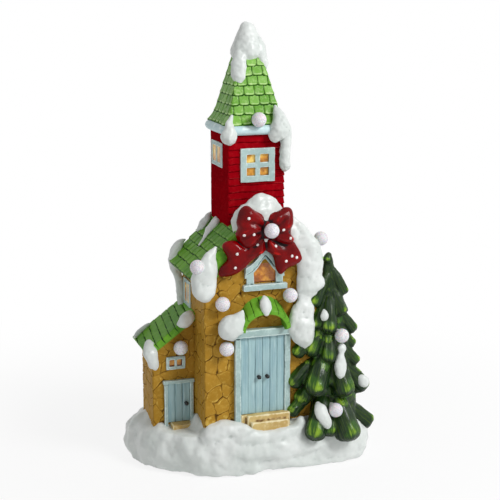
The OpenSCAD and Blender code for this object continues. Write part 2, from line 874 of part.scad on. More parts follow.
knob_out = 1.2;
knob_z = 102;
knob_x = 4.4;
module knob(x, y, z) {
    translate([x, y - knob_out - knob_r, z]) sphere(r = knob_r);
    bar([x, y - knob_out - knob_r, z], [x, y, z], knob_r / 2);
}

module entrance_knobs() {
    color("black") home() {
        knob(entrance_x - knob_x, -chapel_front - leaf_t, knob_z);
        knob(entrance_x + knob_x, -chapel_front - leaf_t, knob_z);
    }
}

step_x = 3.5;
step_foot = 40;
upper_step_more = 3;
module steps_form() {
    y0 = -chapel_front - frame_proud - 2 * tread;
    box([step_x - step_w / 2, y0, step_foot],
        [step_x + step_w / 2, -chapel_front - frame_proud, step_top - step_rise]);
    box([step_x - step_w / 2 - upper_step_more, y0 + tread, step_foot],
        [step_x + step_w / 2 + upper_step_more, -chapel_front - frame_proud, step_top]);
    box([entrance_x - leaf_w, -chapel_front - frame_proud, step_foot],
        [entrance_x + leaf_w, -chapel_front, step_top]);
}

module entrance_steps() {
    color("tan") home() steps_form();
}

shed_door_right = shed_x - 1.5;
shed_door_w = 31;
shed_door_top = 93;
shed_jamb = 3.5;
shed_step_top = 47;
shed_proud = 3;
shed_cap_over = 1;
shed_knob_z = 67;
module shed_door_block() {
    box([shed_door_right - shed_door_w, -shed_front - shed_proud, shed_floor],
        [shed_door_right, -shed_front + over, shed_door_top - shed_jamb]);
}

module shed_door_frame() {
    color("lightblue") home() {
        y0 = -shed_front - shed_proud;
        x0 = shed_door_right - shed_door_w;
        difference() {
            box([x0, y0, shed_floor], [shed_door_right, -shed_front, shed_door_top - shed_jamb]);
            box([x0 + shed_jamb, y0 - over, 0], [shed_door_right - shed_jamb, 0, shed_door_top]);
        }
        box([x0 - shed_cap_over, y0 - shed_cap_over, shed_door_top - shed_jamb],
            [shed_door_right + shed_cap_over, -shed_front, shed_door_top]);
    }
}

module shed_door() {
    color("powderblue") home()
        leaf(shed_door_right - shed_door_w + shed_jamb + fit, shed_door_right - shed_jamb - fit,
            -shed_front - shed_proud / 2, -shed_front, shed_step_top + fit, shed_door_top - shed_jamb - fit);
}

module shed_door_knob() {
    color("black") home()
        knob(shed_door_right - shed_jamb - knob_x, -shed_front - shed_proud / 2, shed_knob_z);
}

shed_step_w = 21;
module doorstep_form() {
    x1 = shed_door_right - shed_jamb;
    box([x1 - shed_step_w, -shed_front - 4 * shed_proud, step_foot], [x1, -shed_front, shed_step_top]);
}

module shed_doorstep() {
    color("tan") home() difference() {
        doorstep_form();
        box([shed_door_right - shed_door_w, -shed_front - shed_proud, 0],
            [shed_door_right - shed_door_w + shed_jamb, 0, ridge_h]);
    }
}

// Canopy: an arch whose lip hangs lower and stands further out than its line on the wall

canopy_steps = 14;
function canopy_at(a, out, crown) =
    [entrance_x + canopy_half * cos(a), -chapel_front - out, canopy_foot + crown * sin(a)];
canopy_rings = [for (i = [0:canopy_steps])
    let (a = 180 * i / canopy_steps,
        lip = canopy_at(a, canopy_out, canopy_lip),
        wall = canopy_at(a, 0, canopy_crown - canopy_foot),
        down = [0, 0, -canopy_t])
    [lip, lip + down, wall + down * 2, wall]];
module canopy_form() {
    skin(reversed(canopy_rings));
}

module awning() {
    color("olivedrab") home() difference() {
        canopy_form();
        lintel_block();
    }
}

// Snow. The stops are shares of the sizes of what each drift lies on

cap_size = [steeple_half, steeple_half, cap_top, steeple_half];
cap_shares = [[0, 0, 0.915, 0.32], [0.01, -0.01, 0.932, 0.49], [0.01, -0.02, 0.952, 0.45],
    [-0.01, 0, 0.978, 0.32], [-0.03, 0, 0.993, 0.17], [-0.03, 0, 1, 0.03]];
cap_run_shares = [[0.1, -0.15, 0.955, 0.2], [0.3, -0.3, 0.935, 0.22], [0.42, -0.38, 0.917, 0.18],
    [0.5, -0.42, 0.9, 0.12], [0.5, -0.43, 0.893, 0.03]];
cap_streak_shares = [[-0.32, -0.32, 0.94, 0.12], [-0.4, -0.42, 0.922, 0.23], [-0.46, -0.52, 0.9, 0.26],
    [-0.5, -0.58, 0.88, 0.24], [-0.52, -0.61, 0.868, 0.1]];
corner_size = [tower_w / 2, tower_w / 2, cornice_z, tower_w / 2];
corner_left_shares = [[-0.82, -0.92, 1.03, 0.04], [-0.94, -1.06, 1, 0.16], [-0.99, -1.14, 0.972, 0.28],
    [-0.99, -1.14, 0.955, 0.24], [-0.98, -1.1, 0.94, 0.06]];
corner_right_shares = [[0.66, -0.82, 1.056, 0.04], [0.74, -0.98, 1.025, 0.24], [0.76, -1.12, 0.99, 0.44],
    [0.84, -1.16, 0.958, 0.42], [0.95, -1.1, 0.92, 0.24], [0.98, -1.08, 0.885, 0.2],
    [0.98, -1.06, 0.862, 0.05]];

module steeple_snow_cap() {
    color("snow") home() difference() {
        union() {
            limb(scaled(cap_shares, cap_size), facing = [0, 1, 0], sides = 14);
            limb(scaled(cap_run_shares, cap_size), flat = 0.7);
            limb(scaled(cap_streak_shares, cap_size), flat = 0.6);
        }
        steeple_form();
    }
}

module steeple_snow_drips() {
    color("snow") home() difference() {
        union() {
            limb(scaled(corner_left_shares, corner_size), flat = 0.8);
            limb(scaled(corner_right_shares, corner_size), flat = 0.9);
        }
        steeple_form();
        cornice_form();
        box([-tower_w / 2, -tower_w / 2, 0], [tower_w / 2, tower_w / 2, tower_top]);
        at_tower_front_hole() translate([-tower_window_w / 2 - fit, -window_proud - fit, -tower_window_h / 2])
            cube([tower_window_w + 2 * fit, wall_t, tower_window_h + fit]);
    }
}

gable_size = [chapel_w / 2, chapel_front, ridge_h, 5 * snow_t];
gable_shares = [[-0.03, -0.93, 0.85, 0.4], [-0.02, -0.93, 0.9, 0.47], [0, -0.95, 0.95, 0.42],
    [0.01, -0.97, 0.99, 0.29], [0.02, -0.98, 1.02, 0.15], [0.02, -0.98, 1.03, 0.02]];
module gable_drift() {
    limb(scaled(gable_shares, gable_size), flat = 0.52, sides = 16);
}

module gable_snow() {
    color("snow") home() difference() {
        gable_drift();
        chapel_mass();
        box([-tower_w / 2, -tower_w / 2, 0], [tower_w / 2, tower_w / 2, tower_top]);
        bow_form();
        lamp_room(1);
    }
}

verge_drift_shares = [[0.3, -1.02, 0.96, 0.1], [0.48, -1.05, 0.915, 0.19], [0.66, -1.05, 0.86, 0.2],
    [0.8, -1.05, 0.79, 0.21], [0.85, -1.05, 0.74, 0.19], [0.86, -1.05, 0.69, 0.15],
    [0.88, -1.04, 0.665, 0.04]];
shoulder_shares = [[0.3, -1, 0.95, 0.1], [0.5, -1.05, 0.9, 0.2], [0.64, -1.08, 0.84, 0.27],
    [0.73, -1.1, 0.77, 0.28], [0.74, -1.1, 0.7, 0.24], [0.76, -1.1, 0.66, 0.2], [0.8, -1.1, 0.64, 0.05]];
long_run_shares = [[0.72, -1.1, 0.78, 0.2], [0.68, -1.12, 0.7, 0.2], [0.64, -1.13, 0.64, 0.18],
    [0.66, -1.14, 0.58, 0.24], [0.67, -1.14, 0.51, 0.25], [0.71, -1.13, 0.46, 0.15],
    [0.73, -1.12, 0.433, 0.03]];
eave_drift_shares = [[0.9, -0.98, 0.78, 0.14], [0.95, -0.5, 0.785, 0.17], [0.96, 0.1, 0.785, 0.17],
    [0.96, 0.5, 0.78, 0.17], [0.94, 0.66, 0.775, 0.08]];
slope_drift_shares = [[0.62, -0.98, 0.89, 0.14], [0.63, -0.4, 0.89, 0.2], [0.63, 0.2, 0.89, 0.19],
    [0.63, 0.6, 0.885, 0.1]];
left_corner_shares = [[-0.8, -1.02, 0.855, 0.03], [-0.9, -1.06, 0.82, 0.1], [-0.98, -1.1, 0.775, 0.19],
    [-1.02, -1.1, 0.735, 0.22], [-1.01, -1.1, 0.69, 0.17], [-0.96, -1.09, 0.66, 0.04]];
rear_strip_shares = [[-0.5, 0.6, 0.9, 0.04], [-0.76, 0.62, 0.84, 0.08], [-1, 0.6, 0.785, 0.1],
    [-1.16, 0.56, 0.735, 0.1], [-1.16, 0.5, 0.69, 0.08], [-1.1, 0.55, 0.645, 0.07],
    [-1.08, 0.58, 0.61, 0.03]];
patch_shares = [[-0.5, 0.5, 0.9, 0.09], [-0.62, 0.46, 0.872, 0.13], [-0.76, 0.41, 0.842, 0.13],
    [-0.9, 0.36, 0.814, 0.05]];

// The drifts at the right, which the tree stands against
module right_drifts() {
    limb(scaled(verge_drift_shares, gable_size), flat = 0.8);
    limb(scaled(shoulder_shares, gable_size), flat = 0.55);
    limb(scaled(long_run_shares, gable_size), flat = 0.5);
    limb(scaled(eave_drift_shares, gable_size), facing = slope_out, flat = 0.9);
}

module roof_snow() {
    color("snow") home() difference() {
        union() {
            right_drifts();
            limb(scaled(slope_drift_shares, gable_size), facing = slope_out, flat = 0.8);
            limb(scaled(left_corner_shares, gable_size), flat = 0.7);
            limb(scaled(rear_strip_shares, gable_size), flat = 0.8);
            limb(scaled(patch_shares, gable_size), facing = [-slope_out[0], 0, slope_out[2]], flat = 0.6);
        }
        chapel_mass();
        box([-tower_w / 2, -tower_w / 2, 0], [tower_w / 2, tower_w / 2, tower_top]);
        bow_form();
        gable_drift();
        shed_mass();
        lintel_block();
        entrance_block();
        for (i = [2, 3, 5]) lamp_room(i);
    }
}

shed_size = [shed_w, shed_back, shed_ridge - shed_eave, shed_w];
shed_left_shares = [[-1.02, -0.02, 0.17, 0.05], [-1.05, -0.3, 0.14, 0.13], [-1.09, -0.57, 0, 0.16],
    [-1.04, -0.62, -0.24, 0.13], [-0.99, -0.62, -0.4, 0.1], [-0.99, -0.62, -0.5, 0.03]];
shed_rear_shares = [[-1.2, 0.9, 0.04, 0.06], [-1, 1, 0.24, 0.11], [-0.75, 1, 0.42, 0.09],
    [-0.5, 1, 0.62, 0.04]];
shed_patch_shares = [[-0.05, -0.4, 1, 0.07], [-0.14, -0.5, 0.9, 0.15], [-0.28, -0.52, 0.74, 0.15],
    [-0.4, -0.48, 0.66, 0.04]];
module shed_snow() {
    color("snow") home() difference() {
        union() {
            for (shares = [shed_left_shares, shed_rear_shares, shed_patch_shares]) {
                limb(moved(scaled(shares, shed_size), [shed_x, 0, shed_eave]), flat = 0.8);
            }
        }
        shed_mass();
        along_y(-shed_front, shed_back)
            polygon([[-shed_left, shed_floor], [shed_x, shed_floor], [shed_x, shed_ridge],
                [-shed_left, shed_eave]]);
        chapel_block();
        lamp_room(7);
    }
}

canopy_size = [canopy_half, canopy_out, canopy_crown - canopy_foot, canopy_half];
canopy_lump_shares = [[-0.95, -1, 0.62, 0.04], [-1.1, -0.85, 0.35, 0.3], [-1.32, -0.7, 0.1, 0.52],
    [-1.36, -0.65, -0.15, 0.46], [-1.3, -0.6, -0.34, 0.12]];
canopy_oval_shares = [[0, -0.5, 1.05, 0.05], [0, -0.65, 0.9, 0.18], [0, -0.85, 0.65, 0.21],
    [0, -0.95, 0.42, 0.06]];
module awning_snow() {
    color("snow") home() difference() {
        union() {
            for (shares = [canopy_lump_shares, canopy_oval_shares]) {
                limb(moved(scaled(shares, canopy_size), [entrance_x, -chapel_front, canopy_foot]),
                    flat = 0.7);
            }
        }
        canopy_form();
        chapel_block();
        lintel_block();
        for (i = [4, 6]) lamp_room(i);
    }
}

// Bow

bow_size = [bow_half, chapel_front, bow_z, bow_half];
bow_shares = [
    [[0, -1.2, 1, 0.16], [-0.26, -1.22, 1.015, 0.34], [-0.6, -1.24, 1.015, 0.52],
        [-0.86, -1.22, 1.01, 0.54], [-1.02, -1.2, 1.005, 0.36]],
    [[0, -1.2, 1, 0.16], [0.24, -1.22, 1.01, 0.32], [0.5, -1.24, 1.01, 0.48],
        [0.7, -1.22, 1.005, 0.48], [0.82, -1.2, 1, 0.32]],
    [[0, -1.2, 0.98, 0.14], [-0.55, -1.21, 0.945, 0.28], [-0.98, -1.2, 0.925, 0.3],
        [-1.34, -1.18, 0.935, 0.14]],
    [[-0.05, -1.2, 0.97, 0.16], [-0.6, -1.21, 0.91, 0.34], [-1.05, -1.2, 0.865, 0.36],
        [-1.42, -1.17, 0.83, 0.14]],
    [[0.1, -1.2, 0.975, 0.14], [0.58, -1.21, 0.925, 0.3], [0.92, -1.2, 0.89, 0.3],
        [1.22, -1.18, 0.862, 0.14]],
    [[0.1, -1.2, 0.965, 0.14], [0.42, -1.21, 0.9, 0.28], [0.6, -1.2, 0.855, 0.3],
        [0.64, -1.17, 0.812, 0.14]]];
module bow_form() {
    for (shares = bow_shares) {
        limb(scaled(shares, bow_size), flat = 0.5);
    }
    translate([0, -chapel_front - bow_out, bow_z]) sphere(r = knot_r);
}

module bow() {
    color("crimson") home() difference() {
        bow_form();
        chapel_mass();
        along_y(-chapel_front - frame_proud, -chapel_front + over) hood_plan(gable_hood_t * 2);
        lamp_room(1);
    }
}

// Tree: rings of lobes, each tier spreading down to its tips and drawn in under the next

lobes = 7;
droop_share = 0.015;
tree_sides = 14;
// Half width at a rise from the foot, as a share of the tree's half width
crown_share = 0.1;
skirt_share = 0.92;
taper_share = 0.85;
function tree_spread(rise) = crown_share + skirt_share * pow(1 - rise, taper_share);
// The two rings of a tier: the tips of its twigs, and the neck under the next tier
tier_rise_shares = [0, 0.6];
tier_wide_shares = [1, 0.8];
tier_wave_shares = [0.1, 0.03];
bough_share = 0.66;
point_share = 0.04;
function tree_at(a, r, z) = [tree_x + tree_half * r * cos(a), -tree_y + tree_deep * r * sin(a), z];
function tree_ring(tier, part) =
    let (low = tier / tree_tiers,
        rise = low + tier_rise_shares[part] / tree_tiers,
        wide = bough_share * tree_spread(low) * tier_wide_shares[part])
    [for (k = [0:tree_sides - 1])
        let (a = full_turn * k / tree_sides,
            wave = cos(lobes * a + 180 * tier),
            droop = part == 0 ? droop_share * (1 + wave) : 0)
        tree_at(a, wide * (1 + tier_wave_shares[part] * wave),
            tree_foot + (rise - droop) * (tree_top - tree_foot))];
tree_rings = [for (tier = [0:tree_tiers - 1]) for (part = [0, 1]) tree_ring(tier, part)];
tree_tip_ring = [for (k = [0:tree_sides - 1]) tree_at(full_turn * k / tree_sides, point_share, tree_top)];
// Each bough's tip: its place from the stem's foot and its radius
bough_shares = [[-0.46, -0.77, 0.074, 0.23], [0.21, -0.77, 0.042, 0.25], [0.85, -0.06, 0.042, 0.23],
    [-0.81, -0.39, 0.221, 0.17], [-0.37, -0.65, 0.326, 0.23], [0.08, -0.71, 0.311, 0.21],
    [0.73, -0.13, 0.311, 0.21], [-0.75, -0.35, 0.4, 0.17], [-0.17, -0.52, 0.5, 0.17],
    [0.42, -0.19, 0.442, 0.18], [-0.56, -0.29, 0.532, 0.15], [-0.15, -0.42, 0.658, 0.15],
    [0.37, -0.19, 0.547, 0.16], [0.4, -0.1, 0.626, 0.15], [-0.37, -0.23, 0.711, 0.13],
    [0.17, -0.13, 0.721, 0.15], [0.13, -0.06, 0.826, 0.13], [-0.25, -0.1, 0.805, 0.12],
    [-0.08, -0.06, 0.932, 0.09], [0.56, 0.58, 0.084, 0.21], [0.48, 0.48, 0.347, 0.17],
    [0.33, 0.39, 0.516, 0.15], [0.21, 0.29, 0.674, 0.13]];
bough_rise_share = 0.16;
bough_root_share = 0.45;
bough_bend_share = 0.9;
module bough(tip) {
    size = tip[3] * tree_half;
    end = [tip[0] * tree_half, tip[1] * tree_deep, tip[2] * (tree_top - tree_foot)];
    root = [0, 0, min(end[2] + bough_rise_share * (tree_top - tree_foot), tree_top - tree_foot - size)];
    bend = (root + end) / 2 + [0, 0, size * bough_bend_share / 2];
    stops = [concat(root, [size * bough_root_share]), concat(bend, [size * bough_bend_share]),
        concat(end, [size]), concat(end + (end - bend) / 3, [size * bough_root_share])];
    translate([tree_x, -tree_y, tree_foot])
        limb(stops, facing = [-tip[1], tip[0], 0.1], flat = 0.9, sides = 6, n = 2);
}

// The tree stands on the floor, and its skirt hangs over the edge of the mound
module tree_form() {
    difference() {
        union() {
            skin(concat(tree_rings, [tree_tip_ring]));
            for (tip = bough_shares) bough(tip);
        }
        translate([0, 0, -over]) linear_extrude(floor_z + over) base_plan(base_wall / 2);
    }
}

module tree_channel() {
    bar([tree_x, -tree_y, 0], [tree_x, -tree_y, lamps[8][0][2] + stem_r], stem_r);
}

module christmas_tree() {
    color("darkgreen") home() difference() {
        tree_form();
        chapel_mass();
        right_drifts();
        steps_form();
        entrance_block();
        tree_channel();
        for (i = [8, 9]) lamp_room(i);
    }
}

tree_size = [tree_half, tree_deep, tree_top - tree_foot, tree_half];
tree_drift_shares = [
    [[-0.29, -0.22, 0.745, 0.02], [-0.29, -0.27, 0.72, 0.08], [-0.29, -0.3, 0.69, 0.08],
        [-0.29, -0.3, 0.67, 0.02]],
    [[0.14, -0.48, 0.52, 0.03], [0.13, -0.56, 0.47, 0.12], [0.14, -0.64, 0.39, 0.14],
        [0.15, -0.66, 0.34, 0.03]],
    [[0.62, -0.3, 0.36, 0.03], [0.68, -0.36, 0.33, 0.13], [0.72, -0.38, 0.29, 0.13],
        [0.72, -0.36, 0.26, 0.03]],
    [[-0.36, -0.66, 0.23, 0.03], [-0.32, -0.76, 0.17, 0.14], [-0.23, -0.84, 0.1, 0.15],
        [-0.15, -0.86, 0.04, 0.04]]];
module tree_snow() {
    color("snow") home() difference() {
        union() {
            for (shares = tree_drift_shares) {
                limb(moved(scaled(shares, tree_size), [tree_x, -tree_y, tree_foot]), flat = 0.8);
            }
        }
        tree_form();
        chapel_mass();
        right_drifts();
        for (i = [8, 9]) lamp_room(i);
    }
}

// Lamps: each has its globe's centre, the way it faces, and how far its wire bore reaches

facade_lamp_y = -chapel_front - globe_r;
facade_lamp_shares = [[-0.363, 0.649], [0.213, 0.66], [-0.331, 0.483]];
facing_out = [0, -1, 0];
steeple_lamp_rise = 6;
steeple_lamp_gap = 2.6;
ridge_lamp_gap = 8;
ridge_lamp_share = 0.94;
eave_lamp_shares = [-1.14, -1.15, 0.79];
tree_lamp_rise_shares = [0.57, 0.168];
tree_lamp_shares = [0.11, -0.07];
tree_lamp_out_shares = [0.72, 1.02];
function facade_lamp(i) = [facade_lamp_shares[i][0] * chapel_w, facade_lamp_y,
    facade_lamp_shares[i][1] * ridge_h];
function tree_lamp(i) = [tree_x + tree_lamp_shares[i] * tree_half,
    -tree_y - tree_lamp_out_shares[i] * tree_deep,
    tree_foot + tree_lamp_rise_shares[i] * (tree_top - tree_foot)];
ridge_lamp_x = ridge_lamp_share * eave_right;
slope_out = [sin(roof_pitch), 0, cos(roof_pitch)];
lamps = [
    [[0, -steeple_w(steeple_lamp_rise) - globe_r - steeple_lamp_gap, cornice_z + steeple_lamp_rise],
        facing_out],
    [[0, -bow_lamp_y, bow_z], facing_out],
    [[ridge_lamp_x, -chapel_back, roof_z(ridge_lamp_x)] + slope_out * (ridge_lamp_gap + globe_r),
        slope_out],
    [[eave_lamp_shares[0] * chapel_w / 2, eave_lamp_shares[1] * chapel_front,
        eave_lamp_shares[2] * ridge_h], unit([-1, -1, 1])],
    [facade_lamp(0), facing_out],
    [facade_lamp(1), facing_out],
    [facade_lamp(2), facing_out],
    [[shed_lamp_x, -shed_front - globe_r, shed_lamp_z], facing_out],
    [tree_lamp(0), facing_out],
    [tree_lamp(1), facing_out]];
wire_bore_r = wire_r + fit;
stem_r = wire_r * 2.5;
function lamp_inner(i) = lamps[i][0] - lamps[i][1] * (globe_r + socket_l);
// How far each lamp's wire runs on behind its socket, to reach the hollow inside
wire_reaches = [steeple_t, bow_out + knot_r + verge_over, roof_t * 3, chapel_w / 4,
    wall_t, wall_t, wall_t, wall_t];
// The two lamps of the tree have their wires from its stem
function wire_end(i) =
    i >= len(wire_reaches) ? [tree_x, -tree_y, lamps[i][0][2]]
    : lamps[i][0] - lamps[i][1] * (globe_r + wire_reaches[i] + socket_l);
function wire_tip(i) = lamp_inner(i) - lamps[i][1] * 2 * run_gap;

module lamp_bore(i) {
    bar(lamps[i][0], lamp_inner(i), socket_r + fit);
    bar(lamp_inner(i), wire_end(i), wire_bore_r);
}

// The bore with the room for the globe in front of it
module lamp_room(i) {
    lamp_bore(i);
    translate(lamps[i][0]) sphere(r = globe_r + fit);
}

module globe(i) {
    color("mistyrose") home() {
        translate(lamps[i][0]) sphere(r = globe_r);
        bar(lamps[i][0], lamps[i][0] - lamps[i][1] * (globe_r + neck_l), neck_r);
    }
}

module lamp_holders() {
    color("darkgreen") home() {
        for (i = [0:len(lamps) - 1]) {
            difference() {
                bar(lamps[i][0] - lamps[i][1] * (globe_r + fit), lamp_inner(i), socket_r);
                bar(lamps[i][0], lamps[i][0] - lamps[i][1] * (globe_r + neck_l), neck_r + pin_gap);
                translate(lamps[i][0]) sphere(r = globe_r + fit);
            }
        }
    }
}

// Battery case in the chapel's rear wall

case_deep = 2 * cell_r + case_wall + fit;
case_face = chapel_back + flange_t;
bay_half = cells * cell_r + 0.5 * case_wall;
bay_z0 = case_z + 2 * case_wall;
bay_z1 = bay_z0 + cell_l + 2 * case_wall;
hinge_x = -bay_half - knuckle_r - case_wall;
hinge_y = case_face + run_gap + knuckle_r;
door_z0 = bay_z0 - case_wall;
door_z1 = bay_z1 + case_wall;
switch_rise = 5;
switch_z = bay_z1 + 2 * case_wall + switch_rise;
switch_w = 16;
switch_h = 7;
slider_w = 5;
slider_h = 4;
tongue_t = 1.4;
tongue_w = 9;
tongue_l = 3.5;
tongue_x = bay_half + case_wall;
door_mid = (door_z0 + door_z1) / 2;

module battery_case() {
    color("dimgray") home() {
        difference() {
            union() {
                box([-case_half, chapel_back - case_deep, case_z], [case_half, chapel_back, case_top]);
                box([-case_half - flange_w, chapel_back, case_z - flange_w],
                    [case_half + flange_w, case_face, case_top + flange_w]);
                hinge_ear(door_z0 - run_gap - ear_h);
                hinge_ear(door_z1 + run_gap);
            }
            box([-bay_half, chapel_back - case_deep + case_wall, bay_z0],
                [bay_half, case_face + over, bay_z1]);
            box([-switch_w / 2 - fit, chapel_back - case_deep / 2, switch_z - switch_h / 2 - fit],
                [switch_w / 2 + fit, case_face - flange_t / 2, switch_z + switch_h / 2 + fit]);
            box([-slider_w / 2 - run_gap, chapel_back, switch_z - slider_h / 2 - run_gap],
                [slider_w / 2 + switch_travel + run_gap, case_face + over,
                    switch_z + slider_h / 2 + run_gap]);
            box([tongue_x - run_gap, case_face - tongue_l - run_gap, door_mid - tongue_w / 2 - run_gap],
                [tongue_x + tongue_t + 2 * run_gap, case_face + over, door_mid + tongue_w / 2 + run_gap]);
            translate([hinge_x, hinge_y, door_z0 - 2 * ear_h])
                cylinder(r = pin_r + pin_gap, h = door_z1 - door_z0 + 4 * ear_h);
            bar([0, chapel_back - case_deep - over, switch_z],
                [0, chapel_back - case_deep / 2, switch_z], wire_bore_r);
        }
    }
}

module hinge_ear(z) {
    translate([hinge_x, hinge_y, z]) cylinder(r = knuckle_r, h = ear_h);
    box([hinge_x - knuckle_r, chapel_back, z], [hinge_x + knuckle_r, hinge_y, z + ear_h]);
}

module battery_door() {
    color("gray") home() {
        difference() {
            union() {
                box([hinge_x, case_face + run_gap, door_z0],
                    [bay_half + 3 * case_wall, case_face + run_gap + door_t, door_z1]);
                translate([hinge_x, hinge_y, door_z0]) cylinder(r = knuckle_r, h = door_z1 - door_z0);
                box([tongue_x, case_face - tongue_l, door_mid - tongue_w / 2],
                    [tongue_x + tongue_t, case_face + run_gap + door_t / 2, door_mid + tongue_w / 2]);
                box([bay_half + 2 * case_wall, case_face + run_gap, door_mid - tongue_w],
                    [bay_half + 3 * case_wall, case_face + run_gap + 2 * door_t, door_mid + tongue_w]);
            }
            translate([hinge_x, hinge_y, door_z0 - over])
                cylinder(r = pin_r + pin_gap, h = door_z1 - door_z0 + 2 * over);
        }
    }
}

module hinge_pin() {
    color("silver") home() {
        z0 = door_z0 - run_gap - ear_h;
        translate([hinge_x, hinge_y, z0]) cylinder(r = pin_r, h = door_z1 + run_gap + ear_h - z0);
        translate([hinge_x, hinge_y, door_z1 + run_gap + ear_h]) cylinder(r = pin_r * 1.5, h = pin_r);
    }
}

nub_h = 1;
nub_r = 2.5;
cell_step = 2 * cell_r + case_wall / 4;
function cell_x(i) = (i - (cells - 1) / 2) * cell_step;
contact_share = 0.8;
module battery_cells() {
    color("steelblue") home() {
        for (i = [0:cells - 1]) {
            translate([cell_x(i), chapel_back - cell_r, bay_z0 + case_wall]) {
                cylinder(r = cell_r, h = cell_l - nub_h);
                translate([0, 0, cell_l - nub_h]) cylinder(r = nub_r, h = nub_h);
            }
        }
    }
}

module battery_contacts() {
    color("silver") home() {
        for (z = [[bay_z0, bay_z0 + case_wall], [bay_z1 - case_wall, bay_z1]]) {
            for (i = [0:cells - 1]) {
                translate([cell_x(i), chapel_back - cell_r, z[0]])
                    cylinder(r = cell_r * contact_share, h = z[1] - z[0]);
            }
        }
    }
}

module switch_body() {
    color("black") home() {
        difference() {
            box([-switch_w / 2, chapel_back - case_deep / 2 + fit, switch_z - switch_h / 2],
                [switch_w / 2, chapel_back - fit, switch_z + switch_h / 2]);
            box([-slider_w / 2 - run_gap, chapel_back - slider_h, switch_z - slider_h / 2 - run_gap],
                [slider_w / 2 + switch_travel + run_gap, chapel_back, switch_z + slider_h / 2 + run_gap]);
        }
    }
}

module switch_slider() {
    color("white") home() {
        box([-slider_w / 2, chapel_back - slider_h + run_gap, switch_z - slider_h / 2],
            [slider_w / 2, case_face + door_t, switch_z + slider_h / 2]);
    }
}

// Lamps behind the panes, and the wires to every lamp from one trunk up the middle

wire_drop = 8;
wire_climb = 4;
trunk_foot = cavity_top - wire_drop;
window_lamp_places = [[0, 0, tower_window_z], [0, -chapel_front / 2, gable_sill_z + gable_pane_h],
    [-chapel_w / 4, 0, side_window_z], [shed_window_x, shed_front / 2, shed_window_z]];
shed_junction = [shed_x - shed_w / 4, 0, shed_wire_z];
module window_lamps() {
    color("gold") home() {
        for (p = window_lamp_places) {
            translate(p) sphere(r = bulb_r);
        }
    }
}

// A wire bends softly from stop to stop, and its last stretch is straight
module wire(stops) {
    last = len(stops) - 1;
    bends = smooth_run([for (i = [0:last - 1]) stops[i]], 2);
    limb([for (p = concat(bends, [stops[last]])) [p[0], p[1], p[2], wire_r]],
        facing = [0.31, 0.53, 0.79], sides = 8, n = 1);
}

// A point at the same height, half as far from the trunk
function half_way(p) = [p[0] / 2, p[1] / 2, p[2]];

// A branch leaves the trunk a little below where it goes
module branch(stops) {
    wire(concat([[0, 0, stops[0][2] - wire_climb]], stops));
}

module wiring_harness() {
    color("green") home() difference() {
        union() {
            wire([[0, 0, trunk_foot], [0, 0, cornice_z + steeple_lamp_rise]]);
            branch([[0, -tower_w / 8, cornice_z + steeple_lamp_rise], wire_tip(0)]);
            branch([[0, -tower_w / 4, bow_z], wire_tip(1)]);
            for (i = [2, 3]) branch([half_way(wire_end(i)), wire_end(i), wire_tip(i)]);
            for (i = [4, 5, 6]) {
                branch([[wire_end(i)[0] / 2, -chapel_front / 2, lamps[i][0][2]], wire_end(i), wire_tip(i)]);
            }
            branch([[-chapel_w / 4, 0, shed_wire_z], shed_junction]);
            wire([shed_junction, window_lamp_places[3]]);
            wire([shed_junction, [lamps[7][0][0], shed_front / 3, lamps[7][0][2] - wire_climb], wire_tip(7)]);
            wire([[0, 0, trunk_foot + wire_r], [tree_x / 2, -tree_y / 2, trunk_foot],
                [tree_x, -tree_y, trunk_foot]]);
            wire([[tree_x, -tree_y, trunk_foot - wire_r], wire_end(8) + [0, 0, wire_r]]);
            for (i = [8, 9]) wire([wire_end(i), wire_tip(i)]);
            branch([[0, case_deep / 4, switch_z], [0, chapel_back - case_deep / 2, switch_z]]);
            for (i = [1, 2]) branch([half_way(window_lamp_places[i]), window_lamp_places[i]]);
        }
        for (p = window_lamp_places) {
            translate(p) sphere(r = bulb_r);
        }
    }
}

module steeple_lamp() { globe(0); }
module bow_lamp() { globe(1); }
module ridge_lamp() { globe(2); }
module eave_lamp() { globe(3); }
module facade_left_lamp() { globe(4); }
module facade_right_lamp() { globe(5); }
module door_lamp() { globe(6); }
module shed_lamp() { globe(7); }
module tree_upper_lamp() { globe(8); }
module tree_lower_lamp() { globe(9); }

snow_base();
base_plate();
base_screws();
rubber_feet();
chapel_walls();
chapel_roof();
shed_walls();
shed_roof();
tower_walls();
tower_cornice();
steeple_roof();
steeple_snow_cap();
steeple_snow_drips();
gable_snow();
roof_snow();
shed_snow();
awning();
awning_snow();
entrance_frame();
entrance_door_left();
entrance_door_right();
entrance_knobs();
entrance_steps();
shed_door_frame();
shed_door();
shed_door_knob();
shed_doorstep();
tower_front_window_frame();
tower_front_window_pane();
tower_left_window_frame();
tower_left_window_pane();
gable_window_frame();
gable_window_pane();
side_window_frame();
side_window_pane();
shed_window_frame();
shed_window_pane();
bow();
christmas_tree();
tree_snow();
steeple_lamp();
bow_lamp();
ridge_lamp();
eave_lamp();
facade_left_lamp();
facade_right_lamp();
door_lamp();
shed_lamp();
tree_upper_lamp();
tree_lower_lamp();
lamp_holders();
window_lamps();
wiring_harness();
battery_case();
battery_cells();
battery_contacts();
battery_door();
hinge_pin();
switch_body();
switch_slider();
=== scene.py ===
import math

import bmesh
import bpy
import numpy as np
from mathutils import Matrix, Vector
from mathutils.bvhtree import BVHTree


